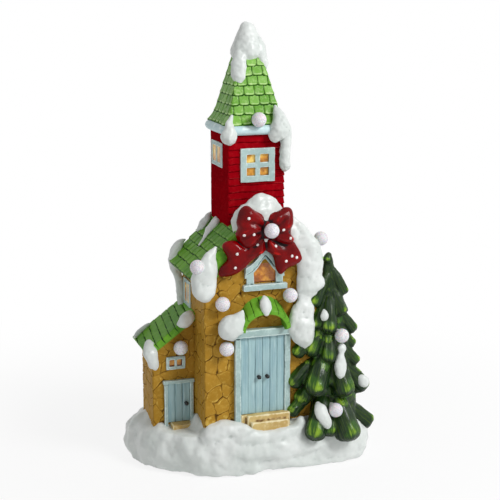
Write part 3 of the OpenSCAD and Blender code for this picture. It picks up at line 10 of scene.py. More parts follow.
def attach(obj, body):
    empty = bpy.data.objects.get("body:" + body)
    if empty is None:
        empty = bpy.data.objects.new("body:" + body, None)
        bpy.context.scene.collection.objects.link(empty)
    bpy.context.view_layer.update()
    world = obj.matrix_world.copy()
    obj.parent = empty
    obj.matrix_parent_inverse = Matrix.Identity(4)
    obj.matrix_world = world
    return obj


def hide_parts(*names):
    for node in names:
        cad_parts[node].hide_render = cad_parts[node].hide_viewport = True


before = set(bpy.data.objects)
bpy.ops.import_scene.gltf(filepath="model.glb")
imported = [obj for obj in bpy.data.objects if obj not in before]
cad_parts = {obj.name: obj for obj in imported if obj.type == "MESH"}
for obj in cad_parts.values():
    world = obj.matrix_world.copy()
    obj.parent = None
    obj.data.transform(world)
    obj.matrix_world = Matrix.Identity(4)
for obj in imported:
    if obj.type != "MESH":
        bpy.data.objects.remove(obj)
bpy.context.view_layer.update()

# All shapes are worked out in millimetres round the tower's axis, then set back by homeY
homeY = 7.5
ridgeZ = 282
slope = math.radians(44)


def slopeWays(side, angle=slope):
    # the directions down a slope and straight out of it; side is 1 on the right and -1 on the left
    return (side * math.cos(angle), 0, -math.sin(angle)), (side * math.sin(angle), 0, math.cos(angle))


# camera, light, and the nodes of a material

studio = {
    "cameraPlace": (-0.37705, -1.12962, 0.4985), "cameraTurn": (77, 0, -18.5), "lens": 85, "sensor": 36,
    "aim": (0, 0, 0.2), "skyLight": 0.37,
    # each lamp's name, place, size and power
    "lamps": (("keyLight", (0.85, -1.15, 1.3), 0.55, 22), ("fillLight", (-1.5, -0.7, 0.8), 1.4, 1.1),
              ("backLight", (0.4, 1.3, 1.1), 1.0, 1.1)),
    "floorHalf": 60, "floorColour": (0.93, 0.93, 0.93, 1), "floorSpeck": (0.85, 0.85, 0.85, 1),
    "nearWhite": 0.84, "whiteFrom": 0.16, "whiteTo": 0.6,
}


def addObject(name, data):
    made = bpy.data.objects.new(name, data)
    bpy.context.scene.collection.objects.link(made)
    return made


def addMesh(name, points, faces):
    mesh = bpy.data.meshes.new(name)
    mesh.from_pydata(np.asarray(points, float).tolist(), [], faces)
    return addObject(name, mesh)


def makeStudio():
    scene = bpy.context.scene
    scene.view_settings.view_transform = "Standard"
    camera = addObject("camera", bpy.data.cameras.new("camera"))
    camera.data.lens, camera.data.sensor_width = studio["lens"], studio["sensor"]
    camera.location = studio["cameraPlace"]
    camera.rotation_euler = [math.radians(a) for a in studio["cameraTurn"]]
    scene.camera = camera
    for name, place, size, power in studio["lamps"]:
        lamp = addObject(name, bpy.data.lights.new(name, "AREA"))
        lamp.data.energy, lamp.data.size, lamp.location = power, size, place
        lamp.rotation_euler = (Vector(studio["aim"]) - Vector(place)).to_track_quat("-Z", "Y").to_euler()


class Wire:
    # a socket that adds Math nodes when it stands in an expression
    def __init__(self, paint, socket):
        self.paint, self.socket = paint, socket

    def maths(self, operation, a, b):
        return self.paint.node("ShaderNodeMath", {"operation": operation}, {0: a, 1: b})

    def __add__(self, other):
        return self.maths("ADD", self, other)

    def __radd__(self, other):
        return self.maths("ADD", other, self)

    def __sub__(self, other):
        return self.maths("SUBTRACT", self, other)

    def __rsub__(self, other):
        return self.maths("SUBTRACT", other, self)

    def __mul__(self, other):
        return self.maths("MULTIPLY", self, other)

    def __rmul__(self, other):
        return self.maths("MULTIPLY", other, self)


class Paint:
    # a new material or world with its main shader, and one method that makes every other node
    def __init__(self, name, world=False, **fixed):
        self.owner = (bpy.data.worlds if world else bpy.data.materials).new(name)
        self.owner.use_nodes = True
        self.tree = self.owner.node_tree
        self.shader = self.find("BACKGROUND" if world else "BSDF_PRINCIPLED")
        for key, value in fixed.items():
            self.shader.inputs[key.replace("_", " ")].default_value = value

    def find(self, kind):
        return next(n for n in self.tree.nodes if n.type == kind)

    def node(self, kind, settings=None, sockets=None, output=0):
        made = self.tree.nodes.new(kind)
        for key, value in (settings or {}).items():
            if key == "stops":
                ramp = made.color_ramp
                while len(ramp.elements) < len(value):
                    ramp.elements.new(1)
                for element, (place, colour) in zip(ramp.elements, value):
                    element.position, element.color = place, colour
            else:
                setattr(made, key, value)
        for key, value in (sockets or {}).items():
            if isinstance(value, Wire):
                self.tree.links.new(value.socket, made.inputs[key])
            else:
                made.inputs[key].default_value = value
        return Wire(self, made.outputs[output])

    def place(self):
        return self.node("ShaderNodeTexCoord", output="Object")

    def read(self, name, output="Fac"):
        return self.node("ShaderNodeAttribute", {"attribute_name": name}, output=output)

    def ray(self, kind):
        return self.node("ShaderNodeLightPath", output=f"Is {kind} Ray")

    def noise(self, scale, detail=3, rough=0.55, stretch=(1, 1, 1), follow=None):
        # a pattern on the object's own place, or on the vector attribute that it follows
        start = self.read(follow, "Vector") if follow else self.place()
        spot = self.node("ShaderNodeMapping", {}, {"Vector": start, "Scale": stretch})
        return self.node("ShaderNodeTexNoise", {}, {"Vector": spot, "Scale": scale, "Detail": detail,
                                                   "Roughness": rough})

    def mix(self, share, a, b):
        return self.node("ShaderNodeMix", {"data_type": "RGBA"}, {0: share, 6: a, 7: b}, output=2)

    def between(self, value, low, high):
        return self.node("ShaderNodeMapRange", {"interpolation_type": "SMOOTHSTEP"},
                         {"Value": value, "From Min": low, "From Max": high})

    def bump(self, height, strength, distance):
        return self.node("ShaderNodeBump", {}, {"Height": height, "Strength": strength, "Distance": distance})

    def feed(self, **links):
        for key, value in links.items():
            self.tree.links.new(value.socket, self.shader.inputs[key.replace("_", " ")])
        return self.owner


def rgb(red, green, blue):
    # a colour written as it looks, turned to the linear values that the shader takes
    shown = (red, green, blue)
    return tuple(((c + 0.055) / 1.055) ** 2.4 if c > 0.04045 else c / 12.92 for c in shown) + (1,)


# finishes: each glaze is a base colour that goes dark in the joints and pale on the ridges, with painted
# shade in hollows and dry brush with painted highlights on ridges and lips

glazes = {
    "stone": {"name": "ochreStone", "body": (0.7, 0.53, 0.19), "second": (0.63, 0.47, 0.15),
              "joint": (0.27, 0.17, 0.06), "pale": (0.84, 0.71, 0.35), "gloss": 0.5, "coat": 0, "sheen": 0.08,
              "dusting": 0.25},
    "roof": {"name": "mossShingle", "body": (0.43, 0.66, 0.2), "second": (0.35, 0.58, 0.17),
             "joint": (0.06, 0.16, 0.05), "pale": (0.55, 0.73, 0.3), "gloss": 0.42, "coat": 0.04,
             "sheen": 0.06},
    "steeple": {"name": "limeTile", "body": (0.4, 0.63, 0.2), "second": (0.49, 0.71, 0.29),
                "joint": (0.08, 0.24, 0.06), "pale": (0.82, 0.91, 0.66), "gloss": 0.36, "coat": 0.06,
                "sheen": 0.08},
    "siding": {"name": "barnRed", "body": (0.61, 0.02, 0.07), "second": (0.53, 0.01, 0.06),
               "joint": (0.3, 0.0, 0.03), "pale": (0.86, 0.24, 0.25), "gloss": 0.3, "coat": 0, "sheen": 0,
               "dusting": 0.12},
    "cornice": {"name": "frostBlueTrim", "body": (0.8, 0.9, 0.91), "second": (0.72, 0.84, 0.86),
                "joint": (0.25, 0.34, 0.36), "pale": (0.92, 0.97, 0.97), "gloss": 0.38, "coat": 0.12},
    # the frames' grey-blue is the cornice's blue made darker and greyer, partly as painted shade
    "trim": {"name": "greyBlueFrame", "body": (0.7, 0.795, 0.785), "second": (0.6, 0.7, 0.69),
             "joint": (0.22, 0.3, 0.3), "pale": (0.88, 0.94, 0.93), "gloss": 0.4, "coat": 0.08},
    "door": {"name": "grainedDoorBlue", "body": (0.63, 0.755, 0.77), "second": (0.57, 0.7, 0.73),
             "joint": (0.27, 0.38, 0.41), "pale": (0.77, 0.86, 0.86), "gloss": 0.44, "coat": 0.08,
             "grain": 420, "bumpDepth": 0.0003, "stretch": (1, 1, 0.07)},
    "step": {"name": "sandStep", "body": (0.83, 0.74, 0.5), "second": (0.74, 0.6, 0.34),
             "joint": (0.36, 0.21, 0.08), "pale": (0.95, 0.91, 0.76), "gloss": 0.46, "coat": 0.05},
    "bow": {"name": "satinRed", "body": (0.52, 0.0, 0.018), "second": (0.34, 0.0, 0.012),
            "joint": (0.08, 0.0, 0.01), "pale": (0.87, 0.1, 0.06), "gloss": 0.2, "coat": 0.12, "sheen": 0.08,
            "grain": 90, "dusting": 0.1, "grip": 0.25},
    # the fir's tone is its lit-tip mask, so its tips facing the front and up take the lighter green and lime
    # pale as painted highlight
    "tree": {"name": "firGreen", "body": (0.06, 0.16, 0.07), "second": (0.17, 0.33, 0.08),
             "joint": (0.02, 0.06, 0.02), "pale": (0.55, 0.69, 0.18), "gloss": 0.26, "coat": 0.2,
             "grain": 9.5, "bumpDepth": 0.0011, "highlightByTone": True, "dusting": 0.22, "grip": 0.85,
             "follow": "spot"},
}
paneTints = {   # dark, middle and light amber
    "pane": ("amberPane", (0.6, 0.34, 0.05), (0.82, 0.56, 0.12), (0.97, 0.84, 0.45)),
    # the gable's pane is the same amber painted darker, as painted shade in its recess under the hood
    "gablePane": ("deepAmberPane", (0.42, 0.17, 0.01), (0.66, 0.37, 0.05), (0.88, 0.62, 0.2)),
}
plainFinishes = {   # light, dark, roughness, metal, size and depth of the grain, and its stretch
    "knob": ("blackKnob", (0.05, 0.05, 0.05), (0.02, 0.02, 0.02), 0.28, 0, 500, 0.0001, (1, 1, 1)),
    "dot": ("whiteDot", (0.97, 0.96, 0.95), (0.9, 0.87, 0.86), 0.25, 0, 300, 0.0001, (1, 1, 1)),
    "holder": ("whiteHolder", (0.9, 0.9, 0.88), (0.82, 0.82, 0.8), 0.45, 0, 600, 0.0001, (1, 1, 1)),
    "wire": ("greenWire", (0.1, 0.3, 0.14), (0.06, 0.2, 0.1), 0.42, 0, 900, 0.0001, (1, 1, 0.2)),
    "case": ("blackCase", (0.1, 0.1, 0.105), (0.06, 0.06, 0.065), 0.5, 0, 1400, 0.00012, (1, 1, 1)),
    "slider": ("greySlider", (0.62, 0.63, 0.64), (0.52, 0.53, 0.54), 0.4, 0, 1200, 0.0001, (1, 1, 1)),
    "steel": ("brushedSteel", (0.74, 0.75, 0.76), (0.55, 0.56, 0.58), 0.28, 1, 900, 0.00008, (1, 1, 0.06)),
    "rubber": ("footRubber", (0.07, 0.07, 0.07), (0.035, 0.035, 0.035), 0.75, 0, 700, 0.0002, (1, 1, 1)),
    "plate": ("greyPlate", (0.33, 0.34, 0.35), (0.25, 0.26, 0.27), 0.6, 0, 800, 0.00025, (1, 1, 1)),
    "bulb": ("warmBulb", (0.98, 0.9, 0.7), (0.94, 0.8, 0.5), 0.2, 0, 500, 0.0001, (1, 1, 1)),
}


def brushedGlaze(name, body, second, joint, pale, gloss, coat=0.2, sheen=0.15, grain=260, bumpDepth=0.00025,
                 stretch=(1, 1, 1), follow=None, grip=0.34, dusting=0.35, highlightByTone=False):
    # the relief attribute runs from 0 in a joint or shaded hollow to 1 on a ridge or highlight; tone varies
    # from stone to stone, and on the fir tree it marks the tips that take a painted highlight
    paint = Paint(name, Coat_Weight=coat, Coat_Roughness=0.1, Specular_IOR_Level=sheen)
    relief, tone = paint.read("relief"), paint.read("tone")
    cloudy, fine = paint.noise(38, 4), paint.noise(grain, 4, 0.65, stretch, follow)
    shade = paint.mix(paint.between(tone + (cloudy - 0.5) * 1.1, 0.15, 0.85), rgb(*body), rgb(*second))
    shade = paint.mix(paint.between(fine, 0.46, 0.72) * dusting, shade, rgb(*pale))
    height = relief + (fine - 0.5) * grip
    # painted shade and painted highlight: dark where relief is low and pale where it is high, along with the
    # dark joints
    shade = paint.mix(paint.between(height, 0.02, 0.42), rgb(*joint), shade)
    shade = paint.mix(paint.between(height, 0.74, 1.02) * (tone if highlightByTone else 0.75), shade, rgb(*pale))
    rough = gloss + (1 - paint.between(height, 0.1, 0.6)) * 0.2 + (cloudy - 0.5) * 0.12
    return paint.feed(Base_Color=shade, Roughness=rough, Normal=paint.bump(fine, 0.55, bumpDepth))


def makeFinishes():
    made = {key: brushedGlaze(**values) for key, values in glazes.items()}

    paint = Paint("snowGlaze", Coat_Weight=0.12, Coat_Roughness=0.2, Specular_IOR_Level=0.3)
    relief, cloudy, fine = paint.read("relief"), paint.noise(30, 4), paint.noise(240, 5, 0.7)
    white = paint.mix(paint.between(cloudy, 0.3, 0.7), rgb(0.82, 0.845, 0.83), rgb(0.885, 0.9, 0.89))
    # painted shade: the snow is grey where its relief is low, in its hollows and creases
    white = paint.mix(paint.between(relief + (fine - 0.5) * 0.3, 0.05, 0.5), rgb(0.6, 0.64, 0.62), white)
    made["snow"] = paint.feed(Base_Color=white, Roughness=0.36 + (fine - 0.5) * 0.3,
                              Normal=paint.bump(fine * 0.6 + cloudy, 0.5, 0.0005))

    for key, (name, dark, middle, light) in paneTints.items():
        # painted glow: each pane gives off a little amber light though it is no lamp; its border is darker,
        # painted shade from the frame
        paint = Paint(name, Coat_Weight=0.3, Coat_Roughness=0.08, Emission_Strength=0.1)
        cloudy, fine, relief = paint.noise(110, 3, 0.5), paint.noise(420, 3), paint.read("relief")
        stops = ((0.3, rgb(*dark)), (0.5, rgb(*middle)), (0.7, rgb(*light)))
        amber = paint.node("ShaderNodeValToRGB", {"stops": stops}, {"Fac": cloudy})
        amber = paint.mix(paint.between(relief, 0.05, 0.7), rgb(0.4, 0.17, 0.03), amber)
        made[key] = paint.feed(Base_Color=amber, Emission_Color=amber, Roughness=0.2 + fine * 0.2,
                               Normal=paint.bump(cloudy, 0.4, 0.0005))

    paint = Paint("frostedGlobe", Coat_Weight=0.15, Subsurface_Weight=0.25, Subsurface_Scale=0.003)
    fine, cloudy = paint.noise(900, 3, 0.6), paint.noise(70, 2)
    frosted = paint.mix(paint.between(cloudy, 0.35, 0.7), rgb(0.95, 0.95, 0.955), rgb(0.94, 0.915, 0.93))
    frosted = paint.mix(paint.between(fine, 0.35, 0.65), rgb(0.8, 0.79, 0.82), frosted)
    made["globe"] = paint.feed(Base_Color=frosted, Roughness=0.42 + fine * 0.25,
                               Normal=paint.bump(fine, 0.45, 0.0004))

    for key, (name, light, dark, rough, metal, scale, depth, stretch) in plainFinishes.items():
        paint = Paint(name, Metallic=metal)
        fine, cloudy = paint.noise(scale, 3, 0.6, stretch), paint.noise(60, 3)
        shade = paint.mix(paint.between(fine * 0.6 + cloudy * 0.4, 0.35, 0.65), rgb(*dark), rgb(*light))
        made[key] = paint.feed(Base_Color=shade, Roughness=rough + (cloudy - 0.5) * 0.2,
                               Normal=paint.bump(fine, 0.4, depth))

    paint = Paint("cellJacket", Coat_Weight=0.3)   # a plain two-colour sleeve round each cell
    upward, fine = paint.node("ShaderNodeSeparateXYZ", {}, {0: paint.place()}, output=2), paint.noise(700, 3)
    jacket = paint.mix(paint.between(upward, 0.1, 0.1008), rgb(0.12, 0.13, 0.15), rgb(0.74, 0.5, 0.16))
    jacket = paint.mix(paint.between(fine, 0.4, 0.6) * 0.2, jacket, rgb(0.8, 0.75, 0.65))
    made["cell"] = paint.feed(Base_Color=jacket, Roughness=0.3 + fine * 0.15,
                              Normal=paint.bump(fine, 0.3, 0.0001))
    return made


# numbers that repeat: value noise on a lattice, and crazy paving

def lattice(ix, iy, iz, seed):
    # a repeatable number from 0 to 1 for each whole-numbered cell
    n = (ix.astype(np.int64) * 73856093) ^ (iy.astype(np.int64) * 19349663) ^ (iz.astype(np.int64) * 83492791)
    n = (n ^ (seed * 2654435761)) & 0x7FFFFFFF
    n = ((n ^ (n >> 13)) * 1274126177) & 0x7FFFFFFF
    n = ((n ^ (n >> 15)) * 668265263) & 0x7FFFFFFF
    return ((n ^ (n >> 12)) & 0xFFFFF) / float(0xFFFFF)


def lumps(points, size, seed=0):
    # value noise from -1 to 1: each point blends the eight corners of its cell of the given size
    q = np.asarray(points, float) / size
    base = np.floor(q)
    f = q - base
    f = f * f * (3 - 2 * f)
    total = np.zeros(len(q))
    for dx in (0, 1):
        for dy in (0, 1):
            for dz in (0, 1):
                weight = abs(1 - dx - f[:, 0]) * abs(1 - dy - f[:, 1]) * abs(1 - dz - f[:, 2])
                total += weight * lattice(base[:, 0] + dx, base[:, 1] + dy, base[:, 2] + dz, seed)
    return total * 2 - 1


def flatLumps(x, y, size, seed=0):
    x, y = np.broadcast_arrays(x, y)
    return lumps(np.stack([x.ravel(), y.ravel(), np.zeros(x.size)], 1), size, seed).reshape(x.shape)


def paving(x, y, size, seed, jitter=0.85):
    # half the gap between the nearest and the second nearest stone centre, and the nearest stone's own number
    gx, gy = np.floor(x / size), np.floor(y / size)
    first, second = np.full(x.shape, 1e9), np.full(x.shape, 1e9)
    owner = zero = np.zeros(x.shape)
    for dx in (-1, 0, 1):
        for dy in (-1, 0, 1):
            cx, cy = gx + dx, gy + dy
            px = (cx + 0.5 + jitter * (lattice(cx, cy, zero, seed) - 0.5)) * size
            py = (cy + 0.5 + jitter * (lattice(cx, cy, zero, seed + 7) - 0.5)) * size
            d = np.hypot(px - x, py - y)
            nearer = d < first
            second = np.where(nearer, first, np.minimum(second, d))
            owner = np.where(nearer, lattice(cx, cy, zero, seed + 3), owner)
            first = np.where(nearer, d, first)
    return (second - first) / 2, owner


def smoothStep(value, low, high):
    t = np.clip((value - low) / (high - low), 0, 1)
    return t * t * (3 - 2 * t)


# meshes: a shell is its points, faces, relief and tone


def makePiece(name, shell, finish, replaced=None, sharp=0):
    # a piece on the house's body, in place of a CAD node; edges sharper than the angle stay crisp
    points, faces, relief, tone = shell
    made = addMesh(name, (points + [0, homeY, 0]) / 1000, faces)
    mesh = made.data
    for key, values in (("relief", relief), ("tone", tone)):
        attribute = mesh.attributes.new(key, "FLOAT", "POINT")
        attribute.data.foreach_set("value", np.broadcast_to(values, len(points)).astype(np.float32))
    work = bmesh.new()
    work.from_mesh(mesh)
    bmesh.ops.recalc_face_normals(work, faces=work.faces)
    work.to_mesh(mesh)
    work.free()
    mesh.shade_smooth()
    if sharp:
        mesh.set_sharp_from_angle(angle=math.radians(sharp))
    mesh.materials.append(finishes[finish])
    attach(made, "house")
    if replaced:
        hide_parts(replaced)
    return made


def gridFaces(rows, cols, closeRows=False, closeCols=False):
    # quads of a grid of points, row after row; a closed direction joins its last line to its first
    r = np.arange(rows if closeRows else rows - 1)[:, None]
    c = np.arange(cols if closeCols else cols - 1)[None, :]
    r2, c2 = (r + 1) % rows, (c + 1) % cols
    return np.stack([r * cols + c, r * cols + c2, r2 * cols + c2, r2 * cols + c], -1).reshape(-1, 4).tolist()


def joined(*shells):
    points, faces, relief, tone, start = [], [], [], [], 0
    for shell in shells:
        count = len(shell[0])
        points.append(shell[0])
        faces += [[i + start for i in face] for face in shell[1]]
        relief.append(np.broadcast_to(shell[2], count))
        tone.append(np.broadcast_to(shell[3], count))
        start += count
    return np.vstack(points), faces, np.concatenate(relief), np.concatenate(tone)


def flatPlace(origin, across, up, out):
    # u, v and height along three directions from an origin
    return lambda u, v, h: np.asarray(origin) + np.outer(u, across) + np.outer(v, up) + np.outer(h, out)


def frontPlace(y):
    # u to the right, v upwards and height towards -Y, from a plane at y
    return flatPlace((0, y, 0), (1, 0, 0), (0, 0, 1), (0, -1, 0))


def reliefBlock(us, vs, height, depth, place):
    # a block whose front is a grid of heights over u and v; place turns u, v and height into x, y and z
    u, v = np.meshgrid(us, vs)
    h, relief, tone = [np.broadcast_to(values, u.shape).ravel() for values in height(u, v)]
    index = np.arange(u.size).reshape(u.shape)
    edge = np.concatenate([index[0, :], index[1:, -1], index[-1, -2::-1], index[-2:0:-1, 0]])
    n = len(edge)
    u, v = u.ravel(), v.ravel()
    back = np.arange(u.size, u.size + n)
    faces = gridFaces(*index.shape)
    faces += np.stack([edge, back, np.roll(back, -1), np.roll(edge, -1)], 1).tolist() + [back[::-1].tolist()]
    return (np.vstack([place(u, v, h), place(u[edge], v[edge], np.full(n, -float(depth)))]), faces,
            np.concatenate([relief, np.full(n, 0.35)]), np.concatenate([tone, np.full(n, 0.5)]))


def roundedEdge(u, v, us, vs, radius):
    # how far the front falls back near a block's borders, along a quarter circle
    near = np.minimum(np.minimum(u - us[0], us[-1] - u), np.minimum(v - vs[0], vs[-1] - v))
    t = np.clip(1 - near / radius, 0, 1)
    return radius * (1 - np.sqrt(np.clip(1 - t * t, 0, 1)))


def bevelled(length, spacing, radius, start=0.0):
    # places along a side, crowded where its ends are rounded
    inner = np.linspace(radius, length - radius, max(2, int(round((length - 2 * radius) / spacing)) + 1))
    crowd = radius * (1 - np.cos(np.linspace(0, math.pi / 2, 5)))[:-1]
    return start + np.concatenate([crowd, inner, length - crowd[::-1]])


def smoothRun(stops, steps):
    # a Catmull-Rom run through the stops
    stops = np.asarray(stops, float)
    padded = np.vstack([stops[:1], stops, stops[-1:]])
    t = np.linspace(0, 1, steps, endpoint=False)[:, None]
    parts = []
    for i in range(len(stops) - 1):
        p, q, r, s = padded[i:i + 4]
        parts.append((2 * q + (r - p) * t + (2 * p - 5 * q + 4 * r - s) * t ** 2
                      + (3 * q - p - 3 * r + s) * t ** 3) / 2)
    return np.vstack(parts + [stops[-1:]])


def smoothLoop(stops, steps):
    # the same run, closed
    stops = np.asarray(stops, float)
    run = smoothRun(np.vstack([stops[-2:], stops, stops[:2]]), steps)
    return run[2 * steps:(2 + len(stops)) * steps]


def tube(rings):
    # a closed skin over rings of points, with a fan at each end
    rows, cols = rings.shape[:2]
    points = np.vstack([rings.reshape(-1, 3), rings[0].mean(0), rings[-1].mean(0)])
    foot, head = rows * cols, rows * cols + 1
    faces = gridFaces(rows, cols, closeCols=True)
    faces += [[foot, (k + 1) % cols, k] for k in range(cols)]
    faces += [[head, (rows - 1) * cols + k, (rows - 1) * cols + (k + 1) % cols] for k in range(cols)]
    return points, faces, 0.5, 0.5


def limb(stops, facing=(0, 1, 0), flat=1.0, sides=20, steps=6):
    # a soft run: rings of each stop's radius, flat times as deep along the facing direction as wide
    run = smoothRun(stops, steps)
    centre, radius = run[:, :3], np.maximum(run[:, 3], 0.05)[:, None, None]
    ahead = np.gradient(centre, axis=0)
    ahead /= np.linalg.norm(ahead, axis=1, keepdims=True)
    u = np.cross(np.asarray(facing, float), ahead)
    u /= np.linalg.norm(u, axis=1, keepdims=True)
    v = np.cross(ahead, u)
    a = np.linspace(0, 2 * math.pi, sides, endpoint=False)
    ring = u[:, None] * np.cos(a)[None, :, None] + v[:, None] * (flat * np.sin(a))[None, :, None]
    return tube(centre[:, None] + radius * ring)


def spun(profile, sides, axis, u, v):
    # rings about an axis: the profile gives each ring's radius and its place along the axis
    a = np.linspace(0, 2 * math.pi, sides, endpoint=False)
    radius, along = np.asarray(profile, float).T[:, :, None, None]
    return radius * (np.outer(np.cos(a), u) + np.outer(np.sin(a), v)) + along * np.asarray(axis, float)


def sideways(axis, up=(0, 0, 1)):
    # two directions square to an axis and to each other
    u = np.cross(axis, up)
    u /= np.linalg.norm(u)
    return u, np.cross(axis, u)


def scaled(shares, size, place=(0, 0, 0)):
    # a run's stops given as shares of a size
    return np.asarray(shares, float) * np.asarray(size, float) + np.append(np.asarray(place, float), 0)


def prism(outline, y0, y1):
    # an outline in X and Z carried from y0 to y1
    n = len(outline)
    x, z = np.asarray(outline, float).T
    points = np.vstack([np.column_stack([x, np.full(n, y), z]) for y in (y0, y1)])
    faces = [[i, (i + 1) % n, n + (i + 1) % n, n + i] for i in range(n)]
    return points, faces + [list(range(n))[::-1], list(range(n, 2 * n))], 0.5, 0.5


def boxShell(low, high):
    (x0, y0, z0), (x1, y1, z1) = low, high
    return prism([(x0, z0), (x0, z1), (x1, z1), (x1, z0)], y0, y1)


def neighbourMean(values, edges, count):
    # the mean of each point's neighbours, through its edges
    a, b = edges.T
    total = [np.bincount(a, line[b], len(line)) + np.bincount(b, line[a], len(line)) for line in values.T]
    return np.stack(total, 1) / count[:, None]


def skinNormals(points, faces):
    quads = np.array([f if len(f) == 4 else f + f[-1:] for f in faces])
    corner = points[quads]
    face = np.cross(corner[:, 2] - corner[:, 0], corner[:, 3] - corner[:, 1])
    total = np.zeros_like(points)
    for k in range(4):
        for axis in range(3):
            total[:, axis] += np.bincount(quads[:, k], face[:, axis], len(points))
    return total / np.maximum(np.linalg.norm(total, axis=1, keepdims=True), 1e-9)


def evaluatedMesh(made):
    return bpy.data.meshes.new_from_object(made.evaluated_get(bpy.context.evaluated_depsgraph_get()))


def cast(shells, voxel, soften, ripple, shadeByBulge, keepLow=None):
    # one closed skin round all the shells, softened as a casting is, with lumps of each ripple's size and
    # depth along the normals; relief is high where the skin is convex and low in its hollows, which the
    # finishes turn into painted shade in the hollows and painted highlight on the bulges
    points, faces, _, _ = joined(*shells)
    work = addMesh("work", points / 1000, faces)
    remesh = work.modifiers.new("skin", "REMESH")
    remesh.mode = "VOXEL"
    remesh.voxel_size = voxel / 1000
    skin = evaluatedMesh(work)
    bpy.data.objects.remove(work)
    count = len(skin.vertices)
    points, edges = np.zeros(count * 3), np.zeros(len(skin.edges) * 2, int)
    skin.vertices.foreach_get("co", points)
    skin.edges.foreach_get("vertices", edges)
    points, edges = points.reshape(-1, 3) * 1000, edges.reshape(-1, 2)
    faces = [list(p.vertices) for p in skin.polygons]
    bpy.data.meshes.remove(skin)
    joins = np.bincount(edges.ravel(), minlength=count).astype(float)
    for step in range(soften * 2):
        points = points + (-0.46 if step % 2 else 0.5) * (neighbourMean(points, edges, joins) - points)
    normals = skinNormals(points, faces)
    for size, depth, seed in ripple:
        points = points + normals * (lumps(points, size, seed) * depth)[:, None]
    if keepLow is not None:
        points[:, 2] = np.maximum(points[:, 2], keepLow)
    normals = skinNormals(points, faces)
    # the bulge scale sets how strong the painted shade in hollows and painted highlight on bulges are
    bulge = ((points - neighbourMean(points, edges, joins)) * normals).sum(1, keepdims=True)
    for _ in range(2):
        bulge = 0.5 * bulge + 0.5 * neighbourMean(bulge, edges, joins)
    return points, faces, np.clip(0.55 + bulge[:, 0] * shadeByBulge * 5 / voxel, 0, 1), 0.5


def cutBox(made, low, high):
    # a straight-sided opening, made by a difference with a box
    points, faces, _, _ = boxShell(low, high)
    cutter = addMesh("cutter", (points + [0, homeY, 0]) / 1000, faces)
    modifier = made.modifiers.new("opening", "BOOLEAN")
    modifier.operation, modifier.solver, modifier.object = "DIFFERENCE", "EXACT", cutter
    cut = evaluatedMesh(made)
    made.modifiers.remove(modifier)
    made.data = cut
    bpy.data.objects.remove(cutter)


# walls: each is a sheet round a loop, with stones or boards in relief

def wallLoop(x0, x1, y0, y1, radius, spacing):
    # a rectangle from above, anticlockwise, with rounded corners: points, outward normals, length so far
    corners = np.array([(x0, y0), (x1, y0), (x1, y1), (x0, y1)], float)
    places, normals = [], []
    for i, step in enumerate(np.broadcast_to(spacing, 4)):
        a, b, c = corners[i - 1], corners[i], corners[(i + 1) % 4]
        into, away = (b - a) / np.linalg.norm(b - a), (c - b) / np.linalg.norm(c - b)
        n0, n1 = np.array([into[1], -into[0]]), np.array([away[1], -away[0]])
        for t in np.linspace(0, math.pi / 2, 5):
            n = n0 * math.cos(t) + n1 * math.sin(t)
            places.append(b - (n0 + n1) * radius + n * radius)
            normals.append(n)
        run = np.linalg.norm(c - b) - 2 * radius
        count = max(1, int(round(run / step)))
        for k in range(1, count):
            places.append(b + away * (radius + run * k / count))
            normals.append(n1)
    places = np.array(places)
    lengths = np.cumsum(np.linalg.norm(np.diff(places, axis=0), axis=1))
    return places, np.array(normals), np.append(0, lengths)


def wallSheet(loop, low, top, spacing, height, thick):
    # a wall: its outer face runs round the loop and up to top(x), moved out by height(s, z, x, y)
    places, normals, length = loop
    x, y = places.T
    tops = top(x)
    rows = int((tops.max() - low) / spacing) + 2
    z = low + np.linspace(0, 1, rows)[:, None] * (tops - low)
    h, relief, tone = height(*[np.broadcast_to(values, z.shape) for values in (length, z, x, y)])
    outer = np.dstack([places + normals * h[:, :, None], z])
    inner = np.column_stack([places - normals * thick, tops])
    foot = inner * [1, 1, 0] + [0, 0, low]
    points = np.concatenate([outer, inner[None], foot[None]]).reshape(-1, 3)
    edge = np.full(2 * len(x), 0.4)
    return points, gridFaces(rows + 2, len(x), True, True), np.append(relief, edge), np.append(tone, edge)


def box2d(x, y, x0, x1, y0, y1, soft=0.6):
    # 1 inside a rectangle, 0 outside it
    return (smoothStep(x, x0 - soft, x0 + soft) * (1 - smoothStep(x, x1 - soft, x1 + soft))
            * smoothStep(y, y0 - soft, y0 + soft) * (1 - smoothStep(y, y1 - soft, y1 + soft)))


def stoneFace(s, z, seed, size):
    # stones differ a little in height; the joints between them are narrow, with pale edges
    warp = 3.2
    x = s + flatLumps(s, z, 19, seed) * warp + 0.5 * flatLumps(s, z, 4, seed + 4)
    y = z * 1.05 + flatLumps(s, z, 15, seed + 1) * warp + 0.5 * flatLumps(s, z, 4, seed + 6)
    gap, own = paving(x, y, size, seed)
    broken = 0.85 + 0.25 * flatLumps(s, z, 9, seed + 8)
    joint = (1 - smoothStep(gap, 0.12, 0.65)) * np.clip(broken, 0, 1)
    rough, coarse = flatLumps(s, z, 2.6, seed + 2), flatLumps(s, z, 8, seed + 5)
    h = -0.75 * joint + 0.3 * (own - 0.5) + 0.12 * rough + 0.25 * coarse
    lip = smoothStep(gap, 0.65, 1.0) * (1 - smoothStep(gap, 1.0, 1.9))
    relief = np.clip((1 - joint) * (0.58 + 0.1 * coarse + 0.45 * lip * (0.7 + 0.6 * rough)), 0, 1)
    return h, relief, 0.3 + 0.4 * own


print("studio and finishes")
makeStudio()
finishes = makeFinishes()

